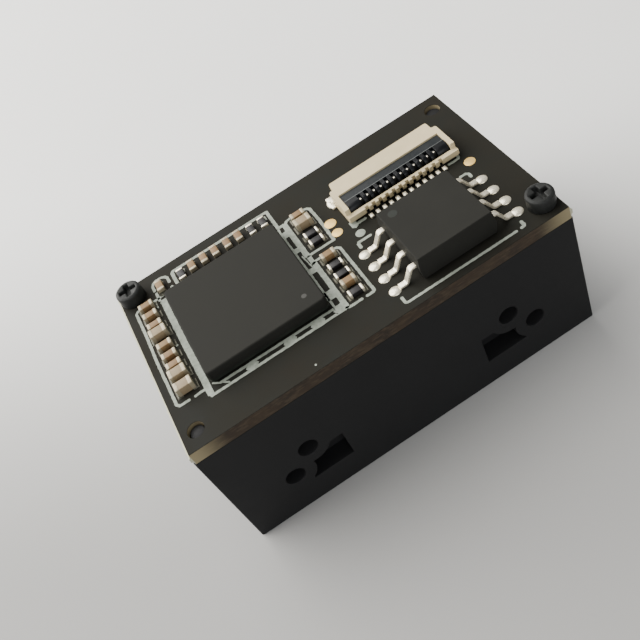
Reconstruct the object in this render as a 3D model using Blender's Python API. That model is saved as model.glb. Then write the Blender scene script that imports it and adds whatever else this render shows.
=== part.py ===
"""Embedded optical scanner module: a black moulded housing closed by a circuit board.

Metres, +Z up. The module rests on the rim round its front window, with the board on top.
The origin is on that rest plane, under the middle of the module. +X runs along the long
side, and +Y points away from the side that carries the mounting holes.

Only one piece moves in use: the latch of the flat-cable connector, which turns about an
axis along X. Its object has its origin on that axis.
"""

import math

import bmesh
import bpy
from mathutils import Matrix, Vector

MM = 0.001

# Gaps between pieces
SEAT_GAP = 0.02 * MM  # between faces that rest on each other
FIT_GAP = 0.03 * MM  # each side, between a piece and the pocket or bore that holds it
OVERSHOOT = 1.0 * MM  # how far a cutter runs past the face that it opens
ROUND_STEPS = 24  # sides of a turned piece or a round hole
SMALL_ROUND_STEPS = 16  # sides of a pin or a screw

# Circuit board
BOARD_LENGTH = 25.4 * MM
BOARD_WIDTH = 15.1 * MM
BOARD_THICKNESS = 1.0 * MM
SNAP_RIDGE_REACH = 0.2 * MM  # the broken web left on both short ends
SNAP_RIDGE_HEIGHT = 0.36 * MM
SNAP_SLOPE_REACH = 0.1 * MM  # the scored slope beside the web
SCREW_INSET_X = 0.95 * MM  # screw axis to the short edge
SCREW_INSET_Y = 1.3 * MM  # screw axis to the long edge

# Housing
HOUSING_HEIGHT = 9.5 * MM
HOUSING_OVERHANG = 0.15 * MM  # past each short edge of the board
HOUSING_CORNER_RADIUS = 0.15 * MM
HOUSING_WALL = 1.0 * MM
FRONT_WALL = 1.8 * MM
CORNER_POST_X = 2.3 * MM
CORNER_POST_Y = 2.6 * MM
MOUNT_BLOCK_DEPTH = 3.2 * MM
MOUNT_BLOCK_TOP = 6.7 * MM
MOUNT_BLOCK_START = 4.4 * MM  # half the clear width between the two blocks

# Mounting side: two round holes and one cored pocket at each end
UPPER_HOLE_X = 7.25 * MM
UPPER_HOLE_Z = 5.08 * MM
LOWER_HOLE_X = 8.87 * MM
LOWER_HOLE_Z = 3.37 * MM
SIDE_HOLE_RADIUS = 0.66 * MM
SIDE_HOLE_DEPTH = 2.5 * MM
HOLE_BOSS_RADIUS = 1.45 * MM
POCKET_X = (5.1 * MM, 7.95 * MM)
POCKET_Z = (2.12 * MM, 4.42 * MM)
POCKET_DEPTH = 1.3 * MM

# Board screws
SCREW_SHANK_RADIUS = 0.45 * MM
SCREW_TIP_RADIUS = 0.27 * MM
SCREW_CLEARANCE = 0.1 * MM  # each side, between the shank and the board
SCREW_HEAD_RADIUS = 0.88 * MM
SCREW_HEAD_HEIGHT = 0.95 * MM
SCREW_HEAD_EDGE = 0.18 * MM  # radius of the head's rounded rim
SCREW_GRIP = 3.4 * MM  # length in the housing
SCREW_RECESS_WIDTH = 0.33 * MM
SCREW_RECESS_REACH = 0.58 * MM
SCREW_RECESS_DEPTH = 0.42 * MM
BOARD_HOLE_RADIUS = SCREW_SHANK_RADIUS + SCREW_CLEARANCE

# Locating pins of the housing, in the two board holes that take no screw
LOCATING_PIN_GAP = 0.08 * MM  # each side
LOCATING_PIN_RADIUS = BOARD_HOLE_RADIUS - LOCATING_PIN_GAP
LOCATING_PIN_SETBACK = 0.25 * MM  # below the board's top
LOCATING_PIN_ROOT = 0.5 * MM  # how deep the pin's body runs into the corner post

# Optics
OPTICAL_Y = 1.0 * MM  # all three optical axes
EMITTER_X = 7.4 * MM
WINDOW_LENGTH = 21.2 * MM
WINDOW_WIDTH = 8.8 * MM
WINDOW_CORNER_RADIUS = 0.8 * MM
WINDOW_RECESS = 0.9 * MM
WINDOW_THICKNESS = 0.7 * MM
GASKET_THICKNESS = 0.1 * MM
GASKET_BORDER = 0.7 * MM
BARREL_RADIUS = 2.55 * MM
BARREL_WALL = 0.5 * MM
BARREL_LENGTH = 3.6 * MM
BARREL_STEP = 0.3 * MM  # front lens seat to rear lens seat
BARREL_STOP_RADIUS = 1.2 * MM
BARREL_STOP_THICKNESS = 0.4 * MM
FRONT_SEAT_DEPTH = 1.4 * MM
OPTICS_CLEARANCE = 0.3 * MM  # front wall to the barrel, holder and emitter tube
LENS_EDGE = 0.45 * MM
LENS_BULGE = 0.28 * MM
HOLDER_WALL = 0.75 * MM
HOLDER_BASE = 8.4 * MM
HOLDER_BASE_HEIGHT = 2.4 * MM
HOLDER_TOWER_SETBACK = 1.2 * MM  # barrel front to the end of the holder's tower
SENSOR_SIZE = 5.2 * MM
SENSOR_THICKNESS = 0.78 * MM
SENSOR_ROOM = 0.4 * MM  # each side of the sensor, and in front of it
FILTER_SIZE = 4.7 * MM
FILTER_THICKNESS = 0.3 * MM
FILTER_LEDGE = 0.55 * MM
LIGHT_HOLE_RADIUS = 1.9 * MM
EMITTER_TUBE_RADIUS = 2.0 * MM
EMITTER_BORE_RADIUS = 1.4 * MM
EMITTER_STEP_RADIUS = 1.0 * MM
EMITTER_LENS_SEAT = 1.4 * MM
EMITTER_STEP_LENGTH = 1.9 * MM
EMITTER_FLANGE_THICKNESS = 0.4 * MM
EMITTER_CAP_LENGTH = 1.0 * MM
EMITTER_APERTURE_RADIUS = 1.2 * MM
PIN_RADIUS = 0.15 * MM
PIN_CIRCLE_RADIUS = 0.6 * MM
PIN_COUNT = 3
LIGHT_PIPE_NOSE_RADIUS = 1.7 * MM
LIGHT_PIPE_FLANGE_RADIUS = 2.3 * MM
LIGHT_PIPE_FLANGE = 0.4 * MM
LIGHT_PIPE_FRONT_RADIUS = 1.9 * MM
LIGHT_PIPE_REAR_RADIUS = 1.2 * MM
LED_LENGTH = 2.8 * MM
LED_WIDTH = 2.0 * MM
LED_THICKNESS = 0.7 * MM

# Processor and memory, placed from the board's edges
PROCESSOR_SIZE = 8.15 * MM
PROCESSOR_HEIGHT = 1.05 * MM
PROCESSOR_CORNER_RADIUS = 0.3 * MM
PROCESSOR_EDGE = 0.06 * MM
PROCESSOR_FROM_LEFT = 7.02 * MM
PROCESSOR_Y = -0.05 * MM
MEMORY_LENGTH = 5.28 * MM  # between its two rows of leads
MEMORY_WIDTH = 5.23 * MM
MEMORY_HEIGHT = 1.8 * MM
MEMORY_STANDOFF = 0.08 * MM
MEMORY_DRAFT = 0.14 * MM
MEMORY_FROM_RIGHT = 6.55 * MM
MEMORY_FROM_FRONT = 3.73 * MM
LEAD_COUNT = 4
LEAD_PITCH = 1.27 * MM
LEAD_WIDTH = 0.42 * MM
LEAD_THICKNESS = 0.2 * MM
LEAD_SPAN = 7.9 * MM
LEAD_SHOULDER = 0.55 * MM
LEAD_FOOT = 0.6 * MM

# Flat-cable connector, with its cable mouth towards +Y
CONTACT_COUNT = 12
CONTACT_PITCH = 0.5 * MM
CONTACT_THICKNESS = 0.2 * MM
CONNECTOR_FROM_RIGHT = 6.15 * MM
CONNECTOR_FROM_BACK = 3.3 * MM  # the mouth to the board's long edge
CONNECTOR_DEPTH = 3.41 * MM
CONNECTOR_HEIGHT = 1.0 * MM
CONNECTOR_SIDE_WALL = 1.01 * MM  # outer face to the first contact's axis, less the arm
CONNECTOR_ARM = 0.33 * MM
SHOULDER_DEPTH = 0.75 * MM
FRONT_BLOCK_DEPTH = 1.45 * MM
COMB_DEPTH = 0.36 * MM
COMB_HEIGHT = 0.6 * MM
COMB_NOTCH_DEPTH = 0.2 * MM
CONTACT_TUNNEL_HEIGHT = 0.24 * MM
MOUTH_FLOOR = 0.2 * MM
MOUTH_ROOF = 0.22 * MM
MOUTH_MARGIN = 0.55 * MM  # beyond the outer contacts' axes
LATCH_HUB_RADIUS = 0.4 * MM
LATCH_PLATE_BELOW = 0.02 * MM  # the plate's underside to the axis
LATCH_STEP_DROP = 0.06 * MM
LATCH_STEP_REACH = 0.36 * MM
LATCH_SLOT_REACH = 0.33 * MM
LATCH_AXIS_HEIGHT = 0.55 * MM
LATCH_PIN_RADIUS = 0.15 * MM
LATCH_PIN_LENGTH = 0.2 * MM
LATCH_ARC_STEPS = 12

# One spring contact: lengths along Y, and heights above the plane that the parts rest on
CONTACT_FOOT_REACH = 0.44 * MM
CONTACT_FOOT_HEIGHT = 0.12 * MM
CONTACT_RISE_LENGTH = 0.1 * MM  # the slope from the foot up to the beam
CONTACT_BEAM = (0.04 * MM, 0.16 * MM)
CONTACT_POST_SETBACK = 0.35 * MM  # the post's rear face to the front block
CONTACT_POST_LENGTH = 0.25 * MM
CONTACT_BAR = (0.35 * MM, 0.47 * MM)  # from the post back to the hook
CONTACT_HOOK_FRONT = 0.05 * MM  # past the latch's axis
CONTACT_HOOK_LENGTH = 0.25 * MM
CONTACT_HOOK_TOP = 0.8 * MM
CONTACT_JAW_ROOT = (0.58 * MM, 0.72 * MM)
CONTACT_JAW_TIP = (0.54 * MM, 0.68 * MM)
CONTACT_JAW_START = 0.05 * MM  # past the front block's rear face
CONTACT_JAW_SLOPE = 0.1 * MM  # how much further the jaw's underside starts

# Chip capacitors and resistors: length along the terminals, width, height
SMALL_CAPACITOR = (1.0 * MM, 0.5 * MM, 0.5 * MM)
LARGE_CAPACITOR = (1.15 * MM, 0.68 * MM, 0.65 * MM)
RESISTOR = (1.0 * MM, 0.5 * MM, 0.33 * MM)
TERMINAL_LENGTH = 0.22 * MM
TERMINAL_PROUD = 0.015 * MM

# Where the chips stand. A column's X and a row's X are from the board's left edge.
COLUMN_FROM_LEFT = 1.5 * MM
COLUMN_SMALL_Y = (4.58, 3.61, 2.6, 0.6, -0.38, -1.29)
COLUMN_LARGE_Y = (1.76, -2.12, -3.24)
ROW_Y = 5.55 * MM
ROW_CAPACITOR_FROM_LEFT = (2.85, 5.3, 6.2, 7.07, 8.0, 8.87)
ROW_RESISTOR_FROM_LEFT = (4.43, 9.82, 10.7)
GROUP_FROM_LEFT = 12.8 * MM
UPPER_RESISTOR_Y = (2.1, 1.3)
LOWER_RESISTOR_Y = (-1.45, -2.4, -4.2)
UPPER_SMALL_Y = (4.15,)
UPPER_LARGE_Y = (3.25,)
LOWER_SMALL_Y = (-0.5, -3.3)

# Worked out from the sizes above
BOARD_BOTTOM_Z = HOUSING_HEIGHT + SEAT_GAP
BOARD_TOP_Z = BOARD_BOTTOM_Z + BOARD_THICKNESS
PARTS_Z = BOARD_TOP_Z + SEAT_GAP
LEFT_EDGE = -BOARD_LENGTH / 2
RIGHT_EDGE = BOARD_LENGTH / 2
FRONT_EDGE = -BOARD_WIDTH / 2
BACK_EDGE = BOARD_WIDTH / 2
HOUSING_LENGTH = BOARD_LENGTH + 2 * HOUSING_OVERHANG
SCREW_X = BOARD_LENGTH / 2 - SCREW_INSET_X
SCREW_Y = BOARD_WIDTH / 2 - SCREW_INSET_Y
SCREW_CENTRES = ((-SCREW_X, SCREW_Y), (SCREW_X, -SCREW_Y))
PIN_CENTRES = ((SCREW_X, SCREW_Y), (-SCREW_X, -SCREW_Y))
SIDE_HOLES = ((UPPER_HOLE_X, UPPER_HOLE_Z), (LOWER_HOLE_X, LOWER_HOLE_Z))
OPTICS_FRONT_Z = FRONT_WALL + OPTICS_CLEARANCE
HOLDER_TOP_Z = BOARD_BOTTOM_Z - SEAT_GAP
CONNECTOR_X = RIGHT_EDGE - CONNECTOR_FROM_RIGHT
CONNECTOR_MOUTH_Y = BACK_EDGE - CONNECTOR_FROM_BACK
CONNECTOR_REAR_Y = CONNECTOR_MOUTH_Y - CONNECTOR_DEPTH
CONTACT_SPAN = (CONTACT_COUNT - 1) * CONTACT_PITCH
CONNECTOR_HALF = CONTACT_SPAN / 2 + CONNECTOR_SIDE_WALL + CONNECTOR_ARM
LATCH_AXIS_Y = CONNECTOR_REAR_Y + COMB_DEPTH + 2 * FIT_GAP + LATCH_HUB_RADIUS
LATCH_AXIS_Z = PARTS_Z + LATCH_AXIS_HEIGHT
SLOT_WIDTH = CONTACT_THICKNESS + 2 * FIT_GAP


def clear_scene():
    for obj in list(bpy.data.objects):
        bpy.data.objects.remove(obj, do_unlink=True)


def make_material(name, colour, roughness, metallic=0.0):
    material = bpy.data.materials.new(name)
    material.use_nodes = True
    shader = material.node_tree.nodes["Principled BSDF"]
    shader.inputs["Base Color"].default_value = (*colour, 1.0)
    shader.inputs["Roughness"].default_value = roughness
    shader.inputs["Metallic"].default_value = metallic
    return material


def add_object(name, mesh, material=None):
    """Closes a bmesh into an object of its own, facing out and smooth where it is round."""
    bmesh.ops.recalc_face_normals(mesh, faces=mesh.faces)
    data = bpy.data.meshes.new(name)
    mesh.to_mesh(data)
    mesh.free()
    data.shade_smooth()
    data.set_sharp_from_angle(angle=math.radians(35))
    obj = bpy.data.objects.new(name, data)
    bpy.context.scene.collection.objects.link(obj)
    if material:
        data.materials.append(material)
    return obj


def add_cutter(name, mesh):
    cutter = add_object(name, mesh)
    cutter.hide_render = True
    cutter.display_type = "WIRE"
    return cutter


def combine(obj, other, operation):
    modifier = obj.modifiers.new(other.name, "BOOLEAN")
    modifier.operation = operation
    modifier.solver = "EXACT"
    modifier.object = other


def cut(obj, *cutters):
    for cutter in cutters:
        combine(obj, cutter, "DIFFERENCE")


def join(obj, *additions):
    for addition in additions:
        combine(obj, addition, "UNION")


def add_box(mesh, x, y, z):
    """A box between the low and high values of each axis."""
    size = Vector((x[1] - x[0], y[1] - y[0], z[1] - z[0]))
    middle = Vector((x[0] + x[1], y[0] + y[1], z[0] + z[1])) / 2
    place = Matrix.Translation(middle) @ Matrix.Diagonal((*size, 1.0))
    return bmesh.ops.create_cube(mesh, size=1.0, matrix=place)["verts"]


def box(x, y, z):
    mesh = bmesh.new()
    add_box(mesh, x, y, z)
    return mesh


def add_prism(mesh, outline, low, high):
    """An outline of (x, y) points, extruded along Z."""
    face = mesh.faces.new([mesh.verts.new((x, y, low)) for x, y in outline])
    grown = bmesh.ops.extrude_face_region(mesh, geom=[face])["geom"]
    top = [item for item in grown if isinstance(item, bmesh.types.BMVert)]
    bmesh.ops.translate(mesh, verts=top, vec=(0, 0, high - low))


def prism(outline, low, high):
    mesh = bmesh.new()
    add_prism(mesh, outline, low, high)
    return mesh


def add_cylinder(mesh, radius, centre, low, high, steps=ROUND_STEPS):
    """An upright cylinder about centre, between two heights."""
    bmesh.ops.create_cone(
        mesh,
        cap_ends=True,
        segments=steps,
        radius1=radius,
        radius2=radius,
        depth=high - low,
        matrix=Matrix.Translation((centre[0], centre[1], (low + high) / 2)),
    )


def turned(profile, centre, steps=ROUND_STEPS):
    """A solid of revolution about an upright axis through centre.

    The profile is a list of (radius, height) points. It closes on itself, or runs from
    the axis to the axis.
    """
    mesh = bmesh.new()
    verts = [mesh.verts.new((centre[0] + radius, centre[1], height)) for radius, height in profile]
    pairs = list(zip(verts, verts[1:]))
    if profile[0][0] > 0:
        pairs.append((verts[-1], verts[0]))
    edges = [mesh.edges.new(pair) for pair in pairs]
    bmesh.ops.spin(
        mesh,
        geom=verts + edges,
        cent=(centre[0], centre[1], 0),
        axis=(0, 0, 1),
        dvec=(0, 0, 0),
        angle=math.tau,
        steps=steps,
        use_merge=True,
        use_duplicate=False,
    )
    bmesh.ops.remove_doubles(mesh, verts=mesh.verts, dist=1e-7)
    return mesh


def turn_to_x(mesh):
    """Turns a shape built along Z to run along X. Its outline goes from X, Y to Y, Z."""
    turn = Matrix(((0, 0, 1, 0), (1, 0, 0, 0), (0, 1, 0, 0), (0, 0, 0, 1)))
    bmesh.ops.transform(mesh, matrix=turn, verts=mesh.verts)
    return mesh


def turn_to_y(mesh):
    """Turns a shape built along Z to run along Y. Its outline goes from X, Y to Z, X."""
    turn = Matrix(((0, 1, 0, 0), (0, 0, 1, 0), (1, 0, 0, 0), (0, 0, 0, 1)))
    bmesh.ops.transform(mesh, matrix=turn, verts=mesh.verts)
    return mesh


def arc(centre, radius, start, end, steps):
    """Points on a circle, from one angle to another, in degrees."""
    angles = [math.radians(start + (end - start) * i / steps) for i in range(steps + 1)]
    return [(centre[0] + radius * math.cos(a), centre[1] + radius * math.sin(a)) for a in angles]


def rounded_rectangle(length, width, radius, centre=(0, 0), steps=4):
    points = []
    for turn, (side_x, side_y) in enumerate(((1, 1), (-1, 1), (-1, -1), (1, -1))):
        corner = (
            centre[0] + side_x * (length / 2 - radius),
            centre[1] + side_y * (width / 2 - radius),
        )
        points += arc(corner, radius, 90 * turn, 90 * turn + 90, steps)
    return points


def contact_positions():
    return [CONNECTOR_X - CONTACT_SPAN / 2 + CONTACT_PITCH * i for i in range(CONTACT_COUNT)]


def make_housing(material):
    shell = add_object(
        "housing",
        prism(rounded_rectangle(HOUSING_LENGTH, BOARD_WIDTH, HOUSING_CORNER_RADIUS), 0, HOUSING_HEIGHT),
        material,
    )
    inner_x = HOUSING_LENGTH / 2 - HOUSING_WALL
    inner_y = BOARD_WIDTH / 2 - HOUSING_WALL
    post_x = BOARD_LENGTH / 2 - CORNER_POST_X
    post_y = BOARD_WIDTH / 2 - CORNER_POST_Y
    block_y = MOUNT_BLOCK_DEPTH - BOARD_WIDTH / 2
    top = HOUSING_HEIGHT + OVERSHOOT
    upper_outline = [
        (inner_x, post_y),
        (post_x, post_y),
        (post_x, inner_y),
        (-post_x, inner_y),
        (-post_x, post_y),
        (-inner_x, post_y),
        (-inner_x, -post_y),
        (-post_x, -post_y),
        (-post_x, -inner_y),
        (post_x, -inner_y),
        (post_x, -post_y),
        (inner_x, -post_y),
    ]
    lower_outline = upper_outline[:6] + [
        (-inner_x, block_y),
        (-MOUNT_BLOCK_START, block_y),
        (-MOUNT_BLOCK_START, -inner_y),
        (MOUNT_BLOCK_START, -inner_y),
        (MOUNT_BLOCK_START, block_y),
        (inner_x, block_y),
    ]
    cut(
        shell,
        add_cutter("cut_upper_cavity", prism(upper_outline, MOUNT_BLOCK_TOP, top)),
        add_cutter("cut_lower_cavity", prism(lower_outline, FRONT_WALL, MOUNT_BLOCK_TOP + OVERSHOOT)),
        add_cutter("cut_window_recess", window_outline(0, -OVERSHOOT, WINDOW_RECESS)),
        add_cutter("cut_round_holes", housing_round_holes()),
    )
    for name, side in (("left", -1), ("right", 1)):
        cut(
            shell,
            add_cutter(f"cut_side_holes_{name}", side_holes(side, SIDE_HOLE_RADIUS, SIDE_HOLE_DEPTH)),
            side_pocket(name, side),
        )
    pins = bmesh.new()
    for centre in PIN_CENTRES:
        add_cylinder(
            pins,
            LOCATING_PIN_RADIUS,
            centre,
            HOUSING_HEIGHT - LOCATING_PIN_ROOT,
            BOARD_TOP_Z - LOCATING_PIN_SETBACK,
        )
    join(shell, add_cutter("add_locating_pins", pins))


def housing_round_holes():
    """The light openings of the front wall and the pilot holes of the two board screws."""
    mesh = bmesh.new()
    openings = (
        (0, BARREL_RADIUS + FIT_GAP),
        (EMITTER_X, EMITTER_APERTURE_RADIUS),
        (-EMITTER_X, LIGHT_PIPE_NOSE_RADIUS + FIT_GAP),
    )
    for x, radius in openings:
        add_cylinder(mesh, radius, (x, OPTICAL_Y), 0, FRONT_WALL + OVERSHOOT / 2)
    depth = SCREW_GRIP + OVERSHOOT / 2
    for centre in SCREW_CENTRES:
        add_cylinder(
            mesh,
            SCREW_SHANK_RADIUS + FIT_GAP,
            centre,
            HOUSING_HEIGHT - depth,
            HOUSING_HEIGHT + OVERSHOOT,
        )
    return mesh


def side_holes(side, radius, depth):
    """Two cylinders that run in from the mounting side of the housing."""
    mesh = bmesh.new()
    for x, z in SIDE_HOLES:
        add_cylinder(mesh, radius, (z, side * x), FRONT_EDGE - OVERSHOOT, FRONT_EDGE + depth)
    return turn_to_y(mesh)


def side_pocket(name, side):
    """A cutter for the cored pocket, which leaves a round wall about each hole."""
    x = sorted((side * POCKET_X[0], side * POCKET_X[1]))
    pocket = add_cutter(
        f"cut_pocket_{name}",
        box(x, (FRONT_EDGE - OVERSHOOT / 2, FRONT_EDGE + POCKET_DEPTH), POCKET_Z),
    )
    for index, (hole_x, hole_z) in enumerate(SIDE_HOLES, 1):
        boss = bmesh.new()
        add_cylinder(
            boss,
            HOLE_BOSS_RADIUS,
            (hole_z, side * hole_x),
            FRONT_EDGE - OVERSHOOT,
            FRONT_EDGE + SIDE_HOLE_DEPTH,
            2 * ROUND_STEPS,
        )
        cut(pocket, add_cutter(f"keep_boss_{name}_{index}", turn_to_y(boss)))
    return pocket


def window_outline(inset, low, high):
    """The window's outline, pulled in all round, as a solid between two heights."""
    outline = rounded_rectangle(
        WINDOW_LENGTH - 2 * inset,
        WINDOW_WIDTH - 2 * inset,
        WINDOW_CORNER_RADIUS,
        (0, OPTICAL_Y),
    )
    return prism(outline, low, high)


def make_window(glass, rubber):
    gasket_top = WINDOW_RECESS - SEAT_GAP
    gasket_bottom = gasket_top - GASKET_THICKNESS
    pane_top = gasket_bottom - SEAT_GAP
    add_object("front_window", window_outline(FIT_GAP, pane_top - WINDOW_THICKNESS, pane_top), glass)
    gasket = add_object("window_gasket", window_outline(FIT_GAP, gasket_bottom, gasket_top), rubber)
    hole = window_outline(FIT_GAP + GASKET_BORDER, gasket_bottom - OVERSHOOT, gasket_top + OVERSHOOT)
    cut(gasket, add_cutter("cut_gasket", hole))


def lens(radius, rear, centre, steps=5):
    """A lens with two domed faces, whose rear edge stands at the height rear."""
    sphere = (radius**2 + LENS_BULGE**2) / (2 * LENS_BULGE)
    tilt = math.degrees(math.asin(radius / sphere))
    front = rear - LENS_EDGE
    nose = arc((0, front - LENS_BULGE + sphere), sphere, -90, tilt - 90, steps)
    back = arc((0, rear + LENS_BULGE - sphere), sphere, 90 - tilt, 90, steps)
    profile = nose + back
    profile[0] = (0, profile[0][1])
    profile[-1] = (0, profile[-1][1])
    return turned(profile, centre)


def make_receiver(black, glass, filter_glass, silicon):
    """The receiving lens stack: a holder under the board, and a barrel with two lenses."""
    axis = (0, OPTICAL_Y)
    front_seat = BARREL_RADIUS - BARREL_WALL
    rear_seat = front_seat - BARREL_STEP
    front = OPTICS_FRONT_Z
    stop_front = front + FRONT_SEAT_DEPTH
    stop_rear = stop_front + BARREL_STOP_THICKNESS
    barrel_end = front + BARREL_LENGTH
    barrel = [
        (BARREL_RADIUS, front),
        (BARREL_RADIUS, barrel_end),
        (rear_seat, barrel_end),
        (rear_seat, stop_rear),
        (BARREL_STOP_RADIUS, stop_rear),
        (BARREL_STOP_RADIUS, stop_front),
        (front_seat, stop_front),
        (front_seat, front),
    ]
    add_object("lens_barrel", turned(barrel, axis), black)
    front_rear_edge = stop_front - SEAT_GAP - LENS_BULGE
    add_object("front_lens", lens(front_seat - FIT_GAP, front_rear_edge, axis), glass)
    rear_rear_edge = stop_rear + SEAT_GAP + LENS_BULGE + LENS_EDGE
    add_object("rear_lens", lens(rear_seat - FIT_GAP, rear_rear_edge, axis), glass)

    room = SENSOR_SIZE / 2 + SENSOR_ROOM
    room_floor = HOLDER_TOP_Z - SENSOR_THICKNESS - SENSOR_ROOM
    filter_floor = room_floor - FILTER_THICKNESS - 2 * SEAT_GAP
    bore_top = filter_floor - FILTER_LEDGE
    holder = bmesh.new()
    add_centred_box(holder, HOLDER_BASE / 2, axis, HOLDER_TOP_Z - HOLDER_BASE_HEIGHT, HOLDER_TOP_Z)
    holder = add_object("lens_holder", holder, black)
    tower = bmesh.new()
    tower_radius = BARREL_RADIUS + FIT_GAP + HOLDER_WALL
    tower_top = HOLDER_TOP_Z - HOLDER_BASE_HEIGHT / 2
    add_cylinder(tower, tower_radius, axis, front + HOLDER_TOWER_SETBACK, tower_top)
    join(holder, add_cutter("add_holder_tower", tower))
    bore = bmesh.new()
    add_cylinder(bore, BARREL_RADIUS + FIT_GAP, axis, 0, bore_top)
    light_hole = bmesh.new()
    add_cylinder(light_hole, LIGHT_HOLE_RADIUS, axis, bore_top - OVERSHOOT, HOLDER_TOP_Z)
    recess = bmesh.new()
    add_centred_box(recess, FILTER_SIZE / 2 + FIT_GAP, axis, filter_floor, HOLDER_TOP_Z)
    sensor_room = bmesh.new()
    add_centred_box(sensor_room, room, axis, room_floor, HOLDER_TOP_Z + OVERSHOOT)
    cut(
        holder,
        add_cutter("cut_holder_bore", bore),
        add_cutter("cut_light_hole", light_hole),
        add_cutter("cut_filter_recess", recess),
        add_cutter("cut_sensor_room", sensor_room),
    )
    pane = bmesh.new()
    pane_floor = filter_floor + SEAT_GAP
    add_centred_box(pane, FILTER_SIZE / 2, axis, pane_floor, pane_floor + FILTER_THICKNESS)
    add_object("ir_filter", pane, filter_glass)
    sensor = bmesh.new()
    add_centred_box(sensor, SENSOR_SIZE / 2, axis, HOLDER_TOP_Z - SENSOR_THICKNESS, HOLDER_TOP_Z)
    add_object("image_sensor", sensor, silicon)


def add_centred_box(mesh, half, centre, low, high):
    """A box with a square plan about centre."""
    x = (centre[0] - half, centre[0] + half)
    y = (centre[1] - half, centre[1] + half)
    add_box(mesh, x, y, (low, high))


def make_emitter(black, glass, brass):
    """The pointing emitter: a tube under the board with a canned diode and a lens."""
    axis = (EMITTER_X, OPTICAL_Y)
    front = OPTICS_FRONT_Z
    lens_seat = front + EMITTER_LENS_SEAT
    flange_seat = lens_seat + EMITTER_STEP_LENGTH
    tube = [
        (EMITTER_TUBE_RADIUS, front),
        (EMITTER_TUBE_RADIUS, HOLDER_TOP_Z),
        (EMITTER_BORE_RADIUS, HOLDER_TOP_Z),
        (EMITTER_BORE_RADIUS, flange_seat),
        (EMITTER_STEP_RADIUS, flange_seat),
        (EMITTER_STEP_RADIUS, lens_seat),
        (EMITTER_BORE_RADIUS, lens_seat),
        (EMITTER_BORE_RADIUS, front),
    ]
    add_object("emitter_tube", turned(tube, axis), black)
    lens_rear_edge = lens_seat - SEAT_GAP - LENS_BULGE
    add_object("emitter_lens", lens(EMITTER_BORE_RADIUS - FIT_GAP, lens_rear_edge, axis), glass)
    flange = flange_seat + SEAT_GAP
    flange_top = flange + EMITTER_FLANGE_THICKNESS
    cap_radius = EMITTER_STEP_RADIUS - FIT_GAP
    flange_radius = EMITTER_BORE_RADIUS - FIT_GAP
    can = [
        (0, flange - EMITTER_CAP_LENGTH),
        (cap_radius, flange - EMITTER_CAP_LENGTH),
        (cap_radius, flange),
        (flange_radius, flange),
        (flange_radius, flange_top),
        (0, flange_top),
    ]
    diode = add_object("emitter_diode", turned(can, axis), brass)
    pins = bmesh.new()
    for i in range(PIN_COUNT):
        angle = math.tau * i / PIN_COUNT
        x = axis[0] + PIN_CIRCLE_RADIUS * math.cos(angle)
        y = axis[1] + PIN_CIRCLE_RADIUS * math.sin(angle)
        add_cylinder(pins, PIN_RADIUS, (x, y), flange, HOLDER_TOP_Z, SMALL_ROUND_STEPS // 2)
    join(diode, add_cutter("add_emitter_pins", pins))


def make_illumination(clear, ceramic):
    """The light source under the board and the clear pipe that takes its light to the window."""
    axis = (-EMITTER_X, OPTICAL_Y)
    led_front = HOLDER_TOP_Z - LED_THICKNESS
    led = box(
        (axis[0] - LED_LENGTH / 2, axis[0] + LED_LENGTH / 2),
        (axis[1] - LED_WIDTH / 2, axis[1] + LED_WIDTH / 2),
        (led_front, HOLDER_TOP_Z),
    )
    add_object("illumination_led", led, ceramic)
    flange = FRONT_WALL + SEAT_GAP
    pipe = [
        (0, WINDOW_RECESS + FIT_GAP),
        (LIGHT_PIPE_NOSE_RADIUS, WINDOW_RECESS + 2 * FIT_GAP),
        (LIGHT_PIPE_NOSE_RADIUS, flange),
        (LIGHT_PIPE_FLANGE_RADIUS, flange),
        (LIGHT_PIPE_FLANGE_RADIUS, flange + LIGHT_PIPE_FLANGE),
        (LIGHT_PIPE_FRONT_RADIUS, flange + LIGHT_PIPE_FLANGE),
        (LIGHT_PIPE_REAR_RADIUS, led_front - SEAT_GAP),
        (0, led_front - SEAT_GAP),
    ]
    add_object("light_pipe", turned(pipe, axis), clear)


def make_board(material):
    """The board, with the ridge that snapping it out of its panel leaves on both short ends."""
    middle = BOARD_BOTTOM_Z + BOARD_THICKNESS / 2
    web = SNAP_RIDGE_HEIGHT / 2
    root = RIGHT_EDGE + SNAP_SLOPE_REACH
    tip = RIGHT_EDGE + SNAP_RIDGE_REACH
    right = [
        (BOARD_BOTTOM_Z, RIGHT_EDGE),
        (middle - web, root),
        (middle - web, tip),
        (middle + web, tip),
        (middle + web, root),
        (BOARD_TOP_Z, RIGHT_EDGE),
    ]
    left = [(z, -x) for z, x in reversed(right)]
    board = add_object("main_board", turn_to_y(prism(right + left, FRONT_EDGE, BACK_EDGE)), material)
    holes = bmesh.new()
    for centre in SCREW_CENTRES + PIN_CENTRES:
        add_cylinder(
            holes,
            BOARD_HOLE_RADIUS,
            centre,
            BOARD_BOTTOM_Z - OVERSHOOT,
            BOARD_TOP_Z + OVERSHOOT,
        )
    cut(board, add_cutter("cut_board_holes", holes))


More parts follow.
